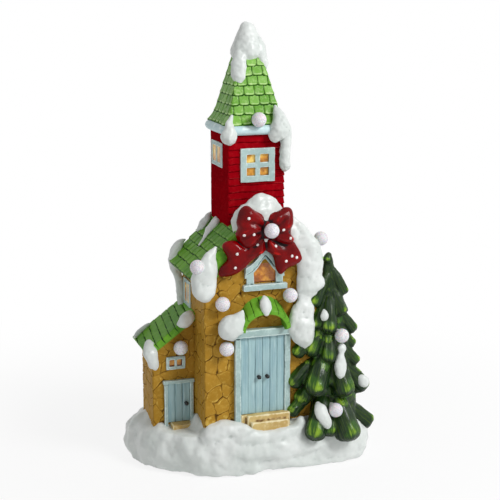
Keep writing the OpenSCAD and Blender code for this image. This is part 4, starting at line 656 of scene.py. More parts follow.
chapel = {"half": 62, "front": -52, "back": 30, "low": 36, "wall": 5, "stone": 14.2, "under": 273.5,
          "seed": 11, "spacing": (0.9, 1.3, 1.3, 1.1), "glassDepth": 4, "doorDepth": 0.8, "rearDepth": 0.4,
          "gableHole": (-11.4, 13.4, 200.6, 219.5), "sideHole": (0, 18, 168.3, 190.3),
          "doorHole": (-30.5, 27.5, 40, 146), "rearFlat": (-35, 35, 61, 147.5),
          "hatch": ((-28.8, 20, 67.6), (28.8, 34, 146.8))}


def chapelTop(x):
    return chapel["under"] - np.abs(x) * math.tan(slope)


def chapelHeight(s, z, x, y):
    h, relief, tone = stoneFace(s, z, chapel["seed"], chapel["stone"])
    front, left, rear = y < chapel["front"] + 1, x < 1 - chapel["half"], y > chapel["back"] - 1
    glass = box2d(x, z, *chapel["gableHole"]) * front + box2d(y, z, *chapel["sideHole"]) * left
    h = np.where(glass > 0.5, -chapel["glassDepth"], h)
    door = box2d(x, z, *chapel["doorHole"]) * front
    h = np.where(door > 0.5, np.minimum(h, -chapel["doorDepth"]), h)
    flat = box2d(x, z, *chapel["rearFlat"]) * rear
    return np.where(flat > 0.5, -chapel["rearDepth"], h), relief, tone


half = chapel["half"]
chapelLoop = wallLoop(-half, half, chapel["front"], chapel["back"], 1.6, chapel["spacing"])
chapelSheet = wallSheet(chapelLoop, chapel["low"], chapelTop, 0.95, chapelHeight, chapel["wall"])
cutBox(makePiece("chapelStone", chapelSheet, "stone", "chapel_walls", 60), *chapel["hatch"])

shed = {"left": -106, "right": -60.5, "front": -12, "back": 34, "low": 36, "wall": 4, "stone": 13, "seed": 23,
        "spacing": (0.8, 2.5, 1.3, 1.0), "joins": -62, "ridge": 165, "eave": 127, "over": 9, "verge": 6,
        "roof": 7, "board": 8.6, "splay": 0.13, "glassDepth": 3, "doorDepth": 0.8,
        "windowHole": (-89.4, -74.2, 107.1, 115.9), "doorHole": (-94, -64, 40, 91)}
shedFall = (shed["ridge"] - shed["eave"]) / (shed["joins"] - shed["left"] + shed["over"])


def shedTop(x):
    return shed["ridge"] + np.minimum((x - shed["joins"]) * shedFall, 0) - shed["roof"]


def shedHeight(s, z, x, y):
    h, relief, tone = stoneFace(s, z, shed["seed"], shed["stone"])
    front = y < shed["front"] + 1
    h = np.where(box2d(x, z, *shed["windowHole"]) * front > 0.5, -shed["glassDepth"], h)
    door = box2d(x, z, *shed["doorHole"]) * front
    return np.where(door > 0.5, np.minimum(h, -shed["doorDepth"]), h), relief, tone


shedLoop = wallLoop(shed["left"], shed["right"], shed["front"], shed["back"], 1.6, shed["spacing"])
makePiece("shedStone", wallSheet(shedLoop, shed["low"], shedTop, 0.9, shedHeight, shed["wall"]), "stone",
          "shed_walls", 60)

tower = {"half": 30, "skin": 29.8, "low": 246, "top": 346.5, "foot": 253.03, "head": 346, "rows": 13,
         "wall": 4.5, "glassDepth": 3.4, "rearDepth": 1.6, "frontHole": (-11.6, 13.6, 304.4, 327.6),
         "leftHole": (-9.4, 19.4, 315.1, 332.9)}


def sidingHeight(s, z, x, y):
    # each board leans out to a rounded lip, with a dark joint under it and broken pale glints along the lip,
    # which are painted highlights; the left side, in shade, is nearly plain and has almost none
    pitch = (tower["head"] - tower["foot"]) / tower["rows"]
    wavy = z + 0.45 * flatLumps(s, 0, 14, 5) + 0.25 * flatLumps(s, z, 5, 6)
    t = np.mod((wavy - tower["foot"]) / pitch, 1)
    lip = 0.75 * (1 - smoothStep(t, 0.0, 0.85)) * smoothStep(t, 0.0, 0.1)
    joint = smoothStep(t, 0.86, 0.95) * (1 - smoothStep(t, 0.97, 1.0))
    front, left = y < 1 - tower["half"], x < 1 - tower["half"]
    plain = np.where(left, 0.08, 1)
    # rim: the broken glints of painted highlight along each lip
    rim = (1 - smoothStep(t, 0.06, 0.2)) * smoothStep(flatLumps(s, z, 9, 8), -0.2, 0.6)
    relief = 0.55 + 0.42 * plain * rim - 0.5 * plain * smoothStep(t, 0.84, 0.97)
    h = plain * (lip - 0.5 * joint) + 0.1 * flatLumps(s, z, 3, 9)
    glass = box2d(x, z, *tower["frontHole"]) * front + box2d(y, z, *tower["leftHole"]) * left
    # behind the rear gable the siding is set back, so that it doesn't show through the stone
    hidden = (y > tower["half"] - 1.5) & (z < ridgeZ - 6 - np.abs(x) * math.tan(slope))
    h = np.where(glass > 0.5, -tower["glassDepth"], np.where(hidden, -tower["rearDepth"], h))
    return h, np.clip(relief, 0, 1), np.full(s.shape, 0.5)


skin = tower["skin"]
towerSheet = wallSheet(wallLoop(-skin, skin, -skin, skin, 1.2, 1.0), tower["low"],
                       lambda x: np.full(x.shape, tower["top"]), 0.5, sidingHeight, tower["wall"])
makePiece("towerSiding", towerSheet, "siding", "tower_walls", 60)


# cornice: a rounded nose carried round the tower's head

cornice = {"top": 356, "height": 10, "over": 6, "corner": 3.0}


def cornicePiece():
    angles = np.linspace(-math.pi / 2, math.pi / 2, 13)[:, None]
    half = tower["half"]
    loop, normals, length = wallLoop(-half, half, -half, half, cornice["corner"], 1.3)
    out = cornice["over"] * np.cos(angles) + 0.5 * flatLumps(length, 3, 16, 4)
    z = cornice["top"] + cornice["height"] / 2 * (np.sin(angles) - 1) + 0 * out
    # painted highlight on the nose's upper front, with faint painted shade under it, broken into patches
    highlightPatches = smoothStep(flatLumps(length, z, 6, 2), -0.8, 0.6)
    relief = np.clip(0.45 + 0.5 * np.cos(angles - 0.5) ** 3 * highlightPatches, 0, 1)
    points, faces, _, tone = tube(np.dstack([loop + normals * out[:, :, None], z]))
    return points, faces, np.append(relief, [0.4, 0.4]), tone


makePiece("corniceMoulding", cornicePiece(), "cornice", "tower_cornice")


# steeple: four faces of tiles with rounded ends, each row lapping the one below

steeple = {"foot": 355.5, "height": 94, "half": 28.6, "tip": 4.6, "flare": 3.4, "flareShare": 0.16,
           "rows": 10, "tile": 10.6, "lap": 1.4, "thick": 3}


def steepleHalf(rise):
    t = rise / steeple["height"]
    flare = steeple["flare"] * np.clip(1 - t / steeple["flareShare"], 0, 1) ** 2
    return steeple["half"] + (steeple["tip"] - steeple["half"]) * t + flare


def tileHeight(across, down, pitch, width, lap, seed, corner=0.42):
    # down runs from a roof's head to its foot, row by row; a tile's foot is rounded off at its corners
    row = np.floor(down / pitch)
    y = down / pitch - row
    shift = across / width + 0.5 * np.mod(row, 2) + 0.18 * (lattice(row, row * 0, row * 0, seed) - 0.5)
    column = np.floor(shift)
    x = shift - column - 0.5
    own = lattice(row, column, row * 0, seed + 1)
    foot = 0.93 - corner * np.clip(np.abs(x) * 2 - 0.35, 0, 1) ** 2.2 + 0.05 * (own - 0.5)
    past, side = (y - foot) * pitch, (0.5 - np.abs(x)) * width
    under = smoothStep(past, -0.35, 0.35)
    body = lap * (0.25 + 0.75 * y / foot) + 0.25 * (own - 0.5)
    crack = (1 - smoothStep(side, 0.15, 0.95)) * (1 - under)
    h = body * (1 - under) + under * lap * 0.08 - 0.6 * crack
    dark = np.maximum(crack * 0.9, smoothStep(past, -0.5, 0.1) * (1 - smoothStep(past, 0.7, 2.0)))
    # rim: a pale band along each tile's foot, dry brush with painted highlight
    rim = smoothStep(past, -3.2, -1.0) * (1 - smoothStep(past, -1.0, -0.3)) * smoothStep(side, 0.8, 2)
    return h, np.clip((1 - dark) * (0.55 + 0.4 * rim) + 0.05 * own, 0, 1), own


def steepleFace(turn):
    rise, share = np.linspace(0, steeple["height"], 190), np.linspace(-1, 1, 75)
    fall = math.hypot(steeple["height"], steeple["half"] - steeple["tip"])
    ca, sa = math.cos(turn), math.sin(turn)

    def height(u, v):
        across, down = u * steepleHalf(v), (1 - v / steeple["height"]) * fall
        h, relief, tone = tileHeight(across + 0.35 * flatLumps(across, down, 6, 31),
                                     down + 0.5 * flatLumps(across, down, 8, 32), fall / steeple["rows"],
                                     steeple["tile"], steeple["lap"], 40 + int(turn * 2))
        hip = smoothStep((1 - np.abs(u)) * steepleHalf(v), 0, 1.2)
        return h * hip + (1 - hip) * 0.5, relief, tone

    def place(u, v, h):
        half = steepleHalf(v)
        x, y = u * (half + 0.4 * h), -(half + h)
        return np.stack([x * ca - y * sa, x * sa + y * ca, steeple["foot"] + v + h * 0.25], -1)

    return reliefBlock(share, rise, height, steeple["thick"], place)


steepleShell = joined(*[steepleFace(k * math.pi / 2) for k in range(4)])
makePiece("steepleTiles", steepleShell, "steeple", "steeple_roof", 60)
print("walls, tower and steeple")


# chapel roof: two slopes of square shingles, a ridge roll, and thick verges along the front gable

roof = {"y0": -57, "y1": 35, "thick": 7, "left": 76, "right": 63.5, "rows": 10, "tile": 11, "lap": 1.2,
        "verge": 11, "vergeDepth": 5, "roll": 2.6, "rollPitch": 13,
        "fill": ((-6, 276.6), (0, 270.6), (6, 276.6), (0, 282.2))}   # the wedge under the ridge


def roofSlope(side, reach):
    # u runs along the ridge, v down the slope
    fall = reach / math.cos(slope)
    us, vs = bevelled(roof["y1"] - roof["y0"], 1.0, 1.5, roof["y0"]), bevelled(fall, 0.8, 1.2)
    down, out = slopeWays(side)

    def height(u, v):
        h, relief, tone = tileHeight(u + 0.5 * flatLumps(u, v, 9, 51), v + 0.6 * flatLumps(u, v, 8, 52),
                                     fall / roof["rows"], roof["tile"], roof["lap"], 60, 0.03)
        return h + 0.2 * flatLumps(u, v, 4, 53) - roundedEdge(u, v, us, vs, 1.2), relief, tone

    return reliefBlock(us, vs, height, roof["thick"], flatPlace((0, 0, ridgeZ), (0, 1, 0), down, out))


def vergeBoard(side, reach):
    # the thick band under the roof's edge along the gable: u runs down the slope, v in under it
    us = bevelled(reach / math.cos(slope) - 6, 1.2, 1.5, 3)
    vs = bevelled(roof["verge"] + 6, 1.2, 1.5)
    down, out = np.array(slopeWays(side))

    def height(u, v):
        groove = smoothStep(np.abs(v - 4.5 - 0.5 * flatLumps(u, v, 9, 71)), 0.2, 1.0)
        h = -0.7 * (1 - groove) + 0.25 * flatLumps(u, v, 5, 72) - roundedEdge(u, v, us, vs, 1.5)
        return h, 0.15 + 0.55 * groove + 0.15 * flatLumps(u, v, 3, 73), 0.4

    origin = (0, roof["y0"] + 0.6, ridgeZ) - out
    return reliefBlock(us, vs, height, roof["vergeDepth"], flatPlace(origin, down, -out, (0, -1, 0)))


def ridgeRoll():
    # narrow grooves part the roll's ridge tiles
    y = np.linspace(roof["y0"] + 0.6, roof["y1"] - 0.6, 90)
    radius = roof["roll"] - 0.5 * (np.abs(np.mod(y / roof["rollPitch"], 1) - 0.5) > 0.44)
    rings = spun(np.column_stack([radius, y]), 16, (0, 1, 0), (1, 0, 0), (0, 0, 1))
    return tube(rings + [0, 0, ridgeZ - 1.6])[:2] + (0.55, 0.5)


sides = ((-1, roof["left"]), (1, roof["right"]))
roofShell = joined(*[roofSlope(*side) for side in sides], ridgeRoll(), *[vergeBoard(*side) for side in sides],
                   prism(roof["fill"], roof["y0"] + 2, roof["y1"] + 0.4))
makePiece("chapelShingles", roofShell, "roof", "chapel_roof", 60)


# shed roof: splayed boards laid along the eave, from the front to the rear

def shedRoofPiece():
    tilt = math.atan(shedFall)
    run = (shed["joins"] - shed["left"] + shed["over"]) / math.cos(tilt)
    y0, y1 = shed["front"] - shed["verge"], shed["back"] + shed["verge"]
    us, vs = bevelled(y1 - y0, 0.9, 1.4, y0), bevelled(run + 2, 0.7, 1.4, -2)
    down, out = slopeWays(-1, tilt)

    def height(u, v):
        board = (v + shed["splay"] * (u - y0)) / shed["board"]
        t = np.mod(board, 1)
        own = lattice(np.floor(board), board * 0, board * 0, 81)
        gap = np.minimum(t, 1 - t) * shed["board"] + 0.35 * flatLumps(u, v, 5, 82)
        joint = 1 - smoothStep(gap, 0.15, 0.9)
        h = -0.9 * joint + 0.5 * (1 - t) + 0.25 * (own - 0.5) + 0.15 * flatLumps(u * 0.3, v, 2, 83)
        relief = (1 - joint) * (0.6 + 0.25 * smoothStep(gap, 0.9, 1.4) * (1 - smoothStep(gap, 1.4, 2.4)))
        return h - roundedEdge(u, v, us, vs, 1.4), np.clip(relief, 0, 1), own

    place = flatPlace((shed["joins"], 0, shed["ridge"]), (0, 1, 0), down, out)
    return reliefBlock(us, vs, height, shed["roof"], place)


makePiece("shedBoards", shedRoofPiece(), "roof", "shed_roof", 60)


# doors, frames and windows: soft castings with rounded edges

def onWall(wall, *boxes):
    # boxes on a wall that reach a little into it: x0, x1, z0, z1 and how far each stands out
    return [boxShell((x0, wall - proud, z0), (x1, wall + 0.4, z1)) for x0, x1, z0, z1, proud in boxes]


def doorFrame(door):
    # two jambs, and a lintel that stands out further
    x0, x1, over, proud = door["left"], door["right"], door["over"], door["proud"]
    return onWall(door["wall"], (x0, x0 + door["jamb"], door["low"], door["jambTop"], proud),
                  (x1 - door["jamb"], x1, door["low"], door["jambTop"], proud),
                  (x0 - over, x1 + over, door["lintel"], door["top"], proud + over))


def plankDoor(door, x0, x1, seed):
    # a leaf of three planks with an upright grain
    z0, z1 = door["step"] + 0.2, door["lintel"] - 0.2
    us, vs = bevelled(x1 - x0, 0.55, 0.6, x0), bevelled(z1 - z0, 1.4, 0.6, z0)
    pitch = (x1 - x0) / 3

    def height(u, v):
        t = np.mod((u - x0) / pitch, 1)
        gap = np.minimum(t, 1 - t) * pitch
        inside = (u > x0 + 2) & (u < x1 - 2)
        joint = (1 - smoothStep(gap + 0.15 * flatLumps(u, v, 9, seed), 0.15, 0.8)) * inside
        grain = flatLumps(u, v * 0.06, 0.9, seed + 1)
        h = -0.6 * joint + 0.16 * grain - roundedEdge(u, v, us, vs, 0.6)
        relief = np.clip((1 - 0.75 * joint) * (0.62 + 0.26 * grain), 0, 1)
        return h, relief, 0.5 + 0.4 * flatLumps(u, v * 0.2, 5, seed)

    return reliefBlock(us, vs, height, door["leaf"], frontPlace(door["wall"] - door["leaf"]))


def casementShells(w, h, edge, cols, rows, proud):
    # four sides and the bars between the panes, round the middle of the opening, facing -Y
    bar, x, z = edge * 0.8, w / 2, h / 2
    stepX, stepZ = (w - 2 * edge + bar) / cols, (h - 2 * edge + bar) / rows
    boxes = [(-x, edge - x, -z, z, proud), (x - edge, x, -z, z, proud),
             (-x, x, -z, edge - z, proud), (-x, x, z - edge, z, proud)]
    for left in [edge - x + i * stepX for i in range(1, cols)]:
        boxes.append((left - bar, left, 1 - z, z - 1, proud * 0.85))
    for low in [edge - z + j * stepZ for j in range(1, rows)]:
        boxes.append((1 - x, x - 1, low - bar, low, proud * 0.85))
    return onWall(0, *boxes)


def paneShell(w, h):
    us, vs = bevelled(w, 0.8, 0.8, -w / 2), bevelled(h, 0.8, 0.8, -h / 2)

    def height(u, v):
        near = np.minimum(np.minimum(u - us[0], us[-1] - u), np.minimum(v - vs[0], vs[-1] - v))
        h = 0.3 * flatLumps(u, v, 3.2, 91) + 0.15 * flatLumps(u, v, 1.5, 92) - roundedEdge(u, v, us, vs, 0.8)
        return h, smoothStep(near, 0.5, 2.6), 0.5

    return reliefBlock(us, vs, height, 2, frontPlace(0.3))


def placed(shell, spot, side=False):
    # a piece made facing -Y, moved to its spot, and turned to face -X on a side wall
    points = shell[0]
    if side:
        points = np.stack([points[:, 1], -points[:, 0], points[:, 2]], 1)
    return (points + np.asarray(spot, float),) + tuple(shell[1:])


windows = (   # name, node, middle, width, height, edge, columns, rows, the glass's inset, on a side wall
    ("towerFrontWindow", "tower_front_window", (1, -30, 316), 36, 34, 6.25, 2, 2, 5, False),
    ("towerLeftWindow", "tower_left_window", (-30, 5, 324), 36, 25, 4.45, 2, 1, 3.2, True),
    ("sideWindow", "side_window", (-62, 9, 179.3), 24, 28, 3.75, 2, 1, 2.5, True),
    ("shedWindow", "shed_window", (-81.8, -12, 111.5), 20, 13.5, 3.0, 2, 1, 2.5, False),
)
for name, node, spot, w, h, edge, cols, rows, inset, side in windows:
    shells = [placed(s, spot, side) for s in casementShells(w, h, edge, cols, rows, 1.3 if side else 2.5)]
    frameShell = cast(shells, 0.55, 4, [(5, 0.22, 5), (2, 0.08, 6)], 1.3)
    makePiece(name + "Frame", frameShell, "trim", node + "_frame")
    glassSpot = (spot[0] - 0.8 * side, *spot[1:])   # a side window's glass lies near its frame's front
    makePiece(name + "Glass", placed(paneShell(w - 2 * inset, h - 2 * inset), glassSpot, side), "pane",
              node + "_pane", 50)

gable = {"x": 1, "sill": 193, "sillTop": 199, "sillHalf": 23, "pane": (26, 24), "paneZ": 212, "jamb": 6,
         "lap": 1.3, "jambTop": 219, "jambProud": 2.6, "hoodHalf": 21, "hoodFoot": 217, "hoodRise": 19,
         "hoodThick": 7, "innerThick": 11.5, "proud": 5}
hoodShares = np.array([[-1, 0], [-0.72, 0.16], [-0.45, 0.42], [-0.2, 0.78], [0, 1], [0.2, 0.78], [0.45, 0.42],
                       [0.72, 0.16], [1, 0]])


def hood(thick, proud):
    # the pointed hood over the gable's window: a band under a curved line
    line = smoothRun([gable["x"], gable["hoodFoot"]] + hoodShares * [gable["hoodHalf"], gable["hoodRise"]], 4)
    return prism(np.vstack([line, (line - [0, thick])[::-1]]), chapel["front"] - proud, chapel["front"] + 0.4)


def gableFrame():
    x, sill, top, proud = gable["x"], gable["sill"], gable["jambTop"], gable["jambProud"]
    inner, outer = gable["pane"][0] / 2 - gable["lap"], gable["pane"][0] / 2 + gable["jamb"]
    shells = onWall(chapel["front"], (x - outer, x - inner, sill, top, proud),
                    (x + inner, x + outer, sill, top, proud),
                    (x - gable["sillHalf"], x + gable["sillHalf"], sill, gable["sillTop"], gable["proud"]))
    shells += [hood(gable["hoodThick"], gable["proud"]), hood(gable["innerThick"], proud)]
    return cast(shells, 0.6, 4, [(6, 0.3, 7), (2.2, 0.1, 8)], 1.3)


makePiece("gableWindowFrame", gableFrame(), "trim", "gable_window_frame")
gableGlass = placed(paneShell(*gable["pane"]), (gable["x"], chapel["front"], gable["paneZ"]))
makePiece("gableWindowGlass", gableGlass, "gablePane", "gable_window_pane", 50)

entrance = {"wall": chapel["front"], "left": -31, "right": 28, "jamb": 6, "low": 42, "jambTop": 147,
            "lintel": 145, "top": 153, "proud": 5, "over": 2, "leaf": 3, "step": 62.5, "seam": 0.15}
shedDoor = {"wall": shed["front"], "left": -94.5, "right": -63.5, "jamb": 3.5, "low": 42, "jambTop": 91,
            "lintel": 89.5, "top": 93, "proud": 3, "over": 1, "leaf": 1.5, "step": 47}
makePiece("entranceFrame", cast(doorFrame(entrance), 0.75, 4, [(8, 0.3, 12), (2.5, 0.12, 13)], 1.2), "trim",
          "entrance_frame")
entranceX = (entrance["left"] + entrance["right"]) / 2
leafStart, leafEnd = entrance["left"] + entrance["jamb"] + 0.2, entrance["right"] - entrance["jamb"] - 0.2
makePiece("entranceLeafLeft", plankDoor(entrance, leafStart, entranceX - entrance["seam"], 101), "door",
          "entrance_door_left", 50)
makePiece("entranceLeafRight", plankDoor(entrance, entranceX + entrance["seam"], leafEnd, 111), "door",
          "entrance_door_right", 50)
makePiece("shedDoorFrame", cast(doorFrame(shedDoor), 0.55, 4, [(6, 0.22, 14), (2, 0.1, 15)], 1.2), "trim",
          "shed_door_frame")
leafStart, leafEnd = shedDoor["left"] + shedDoor["jamb"] + 0.2, shedDoor["right"] - shedDoor["jamb"] - 0.2
makePiece("shedDoorLeaf", plankDoor(shedDoor, leafStart, leafEnd, 121), "door", "shed_door", 50)


def knobShell(x, y, z):
    # a turned knob on a round rose: each stop is a radius and how far it stands out
    profile = smoothRun([(0.02, 0), (1.7, 0), (1.75, 0.35), (1.2, 0.6), (0.85, 0.9), (0.95, 1.4), (1.7, 1.9),
                         (2.15, 2.7), (2.15, 3.6), (1.6, 4.7), (0.8, 5.25), (0.02, 5.4)], 3)
    return tube(spun(profile, 20, (0, -1, 0), (1, 0, 0), (0, 0, 1)) + [x, y, z])


knobs = {"apart": 4.4, "front": -54.9, "height": 102, "shed": (-71.4, -13.4, 67)}
pair = [knobShell(entranceX + way * knobs["apart"], knobs["front"], knobs["height"]) for way in (-1, 1)]
makePiece("entranceKnobs", joined(*pair), "knob", "entrance_knobs", 50)
makePiece("shedKnob", knobShell(*knobs["shed"]), "knob", "shed_door_knob", 50)

steps = (((-16.5, -66, 42), (23.5, -57, 56.5)), ((-19.5, -61.5, 42), (26.5, -57, 62.5)),
         ((-25, -58, 42), (22, -52, 62.5)))
stepShell = cast([boxShell(*box) for box in steps], 0.8, 4, [(7, 0.4, 16), (2.5, 0.15, 17)], 1.2)
makePiece("entranceSteps", stepShell, "step", "entrance_steps")
shedStep = (-88, -24, 41), (-67, -12, 47)
stepShell = cast([boxShell(*shedStep)], 0.6, 4, [(5, 0.35, 18), (2, 0.12, 19)], 1.2)
makePiece("shedStep", stepShell, "step", "shed_doorstep")
print("doors and windows")


# canopy over the entrance: an arch of boards whose lip hangs lower and stands out

canopy = {"x": -1.5, "half": 26, "crown": 186, "foot": 157, "lip": 17.5, "out": 15, "thick": 4, "boards": 9}


def canopyPiece():
    # aa runs over the arch from the right to the left, tt from the lip to the wall
    aa, tt = np.meshgrid(np.linspace(0, math.pi, 150), np.linspace(0, 1, 26))
    rise = canopy["lip"] + (canopy["crown"] - canopy["foot"] - canopy["lip"]) * tt
    board = np.mod(aa / math.pi * canopy["boards"], 1)
    joint = 1 - smoothStep(np.minimum(board, 1 - board) * 9, 0.1, 0.75)

    def arch(lift, inset=0):
        x = canopy["x"] + (canopy["half"] - inset) * np.cos(aa)
        y = chapel["front"] - canopy["out"] * (1 - tt)
        return np.stack([x, y, canopy["foot"] + rise * np.sin(aa) + lift], -1)

    soft = 1.6 * (1 - np.sqrt(1 - np.clip(1 - tt * 8, 0, 1) ** 2))
    upper = arch(-0.9 * joint + 0.25 * flatLumps(aa * 30, tt * 20, 4, 131) - soft)
    lower = arch(-canopy["thick"] * (1 + tt), canopy["thick"])
    rows, cols = aa.shape
    left = [r * cols for r in range(2 * rows)]
    faces = gridFaces(2 * rows, cols, closeRows=True) + [left, [i + cols - 1 for i in left][::-1]]
    relief = np.clip((1 - joint) * (0.62 + 0.1 * flatLumps(aa * 30, tt * 20, 3, 132)), 0, 1)
    points = np.concatenate([upper, lower[::-1]]).reshape(-1, 3)
    # the underside's lower relief paints it a little darker, as painted shade
    return points, faces, np.append(relief, np.full(relief.size, 0.4)), 0.4


makePiece("canopyBoards", canopyPiece(), "roof", "awning", 50)


# snow: each drift is a run of soft rings, cast as one skin and rippled

# shadeByBulge sets how strongly the snow's hollows take painted shade and its bulges painted highlight
snow = {"voxel": 1.25, "soften": 6, "ripple": [(13, 1.5, 21), (6, 0.9, 22), (2.8, 0.35, 31)], "shadeByBulge": 0.8}


def drift(name, node, limbs, voxel=snow["voxel"], ripple=snow["ripple"]):
    makePiece(name, cast(limbs, voxel, snow["soften"], ripple, snow["shadeByBulge"]), "snow", node)


# a limb's stops give x, y, z and radius, in millimetres or as shares of the size that follows them
slopeOut, leftSlopeOut = slopeWays(1)[1], slopeWays(-1)[1]
gableSize = (62, 52, 282, 60)
drift("ridgeSnow", "gable_snow", [
    limb([(-2, -49, 240, 23), (-2, -49, 254, 29), (-2, -49, 264, 30), (-2, -49.5, 273, 25.5),
          (-2, -50, 281, 18), (-2.5, -50, 288, 9.5), (-2.5, -50, 290.8, 2)], flat=0.46, sides=32)])
drift("roofSnow", "roof_snow", [
    limb(scaled([(0.28, -1.02, 0.95, 0.08), (0.44, -1.05, 0.9, 0.15), (0.6, -1.05, 0.85, 0.16),
                 (0.8, -1.05, 0.785, 0.19), (0.84, -1.05, 0.74, 0.16), (0.84, -1.05, 0.69, 0.12),
                 (0.86, -1.04, 0.665, 0.04)], gableSize), flat=0.8),
    limb([(27, -55, 266, 3), (34, -56.5, 254, 8), (41, -57, 241, 11.5), (46, -57, 229, 13.5),
          (48.5, -57.5, 218, 14.5), (48, -57, 203, 14.5), (49.5, -57, 193, 15.5), (51, -57, 186.5, 10),
          (53, -57, 182, 3)], flat=0.55),
    limb([(45, -57, 197, 9), (43, -57, 187, 8), (42.5, -57.5, 179.5, 7), (42, -58, 172, 11.5),
          (40, -58, 163, 12.5), (39, -58.5, 153, 15.5), (41.5, -58.5, 143, 13), (44.5, -58, 134, 9),
          (46, -58, 127, 4), (46.5, -58, 124.5, 1)], flat=0.55),
    limb(scaled([(0.9, -0.98, 0.78, 0.14), (0.95, -0.5, 0.785, 0.17), (0.96, 0.1, 0.785, 0.17),
                 (0.96, 0.5, 0.78, 0.17), (0.94, 0.66, 0.775, 0.08)], gableSize), slopeOut, 0.9),
    limb(scaled([(0.6, -0.98, 0.87, 0.1), (0.62, -0.4, 0.88, 0.15), (0.63, 0.2, 0.88, 0.16),
                 (0.63, 0.6, 0.88, 0.1)], gableSize), slopeOut, 0.8),
    limb(scaled([(-0.8, -1.02, 0.855, 0.03), (-0.9, -1.06, 0.82, 0.1), (-0.98, -1.1, 0.775, 0.19),
                 (-1.02, -1.1, 0.735, 0.22), (-1.01, -1.1, 0.69, 0.17), (-0.96, -1.09, 0.66, 0.04)],
                gableSize), flat=0.7),
    limb([(-57, 31, 231, 1.5), (-63, 31, 228, 4), (-68.5, 31, 220, 5.5), (-70, 31, 211, 6),
          (-69, 31, 203, 5.6), (-67, 30, 195, 5.2), (-65, 29, 186, 4.8), (-64, 28.5, 177, 5),
          (-63.5, 27.5, 167, 4.6), (-63.5, 26.5, 158, 3.6), (-63.5, 26, 154, 1.4)], flat=0.9),
    limb([(-29.5, 31, 259.5, 1), (-33.5, 29, 254.5, 4.5), (-38, 27, 249, 8), (-42, 26, 244.5, 7),
          (-46.5, 26, 239.5, 1.5)], leftSlopeOut, 0.45),
    limb([(-30, 13, 255.5, 2.5), (-34, 6, 251.5, 8.5), (-38.5, 4, 247, 8), (-44.5, 0, 241.3, 5),
          (-50, -4, 235.8, 3.4), (-54.8, -8, 231.3, 1)], leftSlopeOut, 0.36)])
shedSize, shedPlace = (44, 34, 38, 44), (shed["joins"], 0, shed["eave"])
drift("shedSnow", "shed_snow", [limb(scaled(shares, shedSize, shedPlace), flat=0.8) for shares in (
    [(-1.02, -0.02, 0.17, 0.05), (-1.05, -0.3, 0.14, 0.13), (-1.09, -0.57, 0, 0.16),
     (-1.04, -0.62, -0.24, 0.13), (-0.99, -0.62, -0.4, 0.1), (-0.99, -0.62, -0.5, 0.03)],
    [(-1.2, 0.9, 0.04, 0.04), (-1.08, 0.98, 0.16, 0.065), (-0.95, 1, 0.27, 0.055), (-0.8, 1, 0.4, 0.02)],
    [(-0.05, -0.4, 1, 0.07), (-0.14, -0.5, 0.9, 0.15), (-0.28, -0.52, 0.74, 0.15),
     (-0.4, -0.48, 0.66, 0.04)])],
      0.8, [(7, 0.7, 23), (3, 0.35, 24)])
canopySize, canopyPlace = (26, 15, 33, 26), (canopy["x"], chapel["front"], canopy["foot"])
drift("canopySnow", "awning_snow", [limb(scaled(shares, canopySize, canopyPlace), flat=0.7) for shares in (
    [(-0.95, -1, 0.62, 0.04), (-1.1, -0.85, 0.35, 0.3), (-1.32, -0.7, 0.1, 0.52), (-1.36, -0.65, -0.15, 0.46),
     (-1.3, -0.6, -0.34, 0.12)],
    [(0, -0.5, 0.94, 0.05), (0, -0.7, 0.8, 0.19), (0, -0.88, 0.58, 0.23), (0, -0.97, 0.36, 0.07)])],
      0.8, [(7, 0.6, 25), (3, 0.3, 26)])
capSize = (28.6, 28.6, 457, 28.6)
drift("steepleCap", "steeple_snow_cap", [
    limb(scaled([(0, 0, 0.915, 0.44), (0, 0, 0.932, 0.58), (0.03, -0.01, 0.955, 0.47), (0.02, 0, 0.977, 0.33),
                 (-0.02, 0, 0.992, 0.19), (-0.02, 0, 0.9985, 0.04)], capSize), sides=32),
    limb(scaled([(0.2, -0.15, 0.955, 0.3), (0.34, -0.28, 0.938, 0.27), (0.44, -0.36, 0.922, 0.2),
                 (0.52, -0.42, 0.906, 0.15), (0.53, -0.44, 0.896, 0.05)], capSize), flat=0.7),
    limb(scaled([(-0.32, -0.32, 0.94, 0.12), (-0.4, -0.42, 0.922, 0.24), (-0.46, -0.52, 0.9, 0.27),
                 (-0.5, -0.58, 0.88, 0.25), (-0.52, -0.61, 0.868, 0.1)], capSize), (-0.4, -1, 0), 0.6)],
      0.8, [(9, 0.8, 27), (4, 0.5, 28), (2, 0.2, 32)])
cornerSize = (30, 30, 356, 30)
drift("corniceSnow", "steeple_snow_drips", [
    limb(scaled([(-0.82, -0.92, 1.03, 0.04), (-0.94, -1.06, 1.002, 0.15), (-0.99, -1.14, 0.977, 0.27),
                 (-0.99, -1.14, 0.961, 0.24), (-0.98, -1.1, 0.946, 0.06)], cornerSize), flat=0.8),
    limb([(19.9, -28, 374.5, 1), (21.5, -31, 367, 4.8), (23.5, -34, 358, 9), (22, -35, 350, 11),
          (17.8, -35.5, 344, 8), (16, -35.5, 338.8, 2.5)], flat=0.85),
    limb([(25, -33, 358, 7), (28.6, -34.5, 347, 7), (29.3, -34.5, 334, 5.3), (29, -34, 321, 5.3),
          (29.3, -33.8, 313, 5), (29.8, -33.6, 308, 1.2)], flat=0.9)],
      0.8, [(8, 0.8, 29), (3.5, 0.5, 30), (2, 0.2, 36)])
print("snow on the roofs")


# the mound that the house stands in

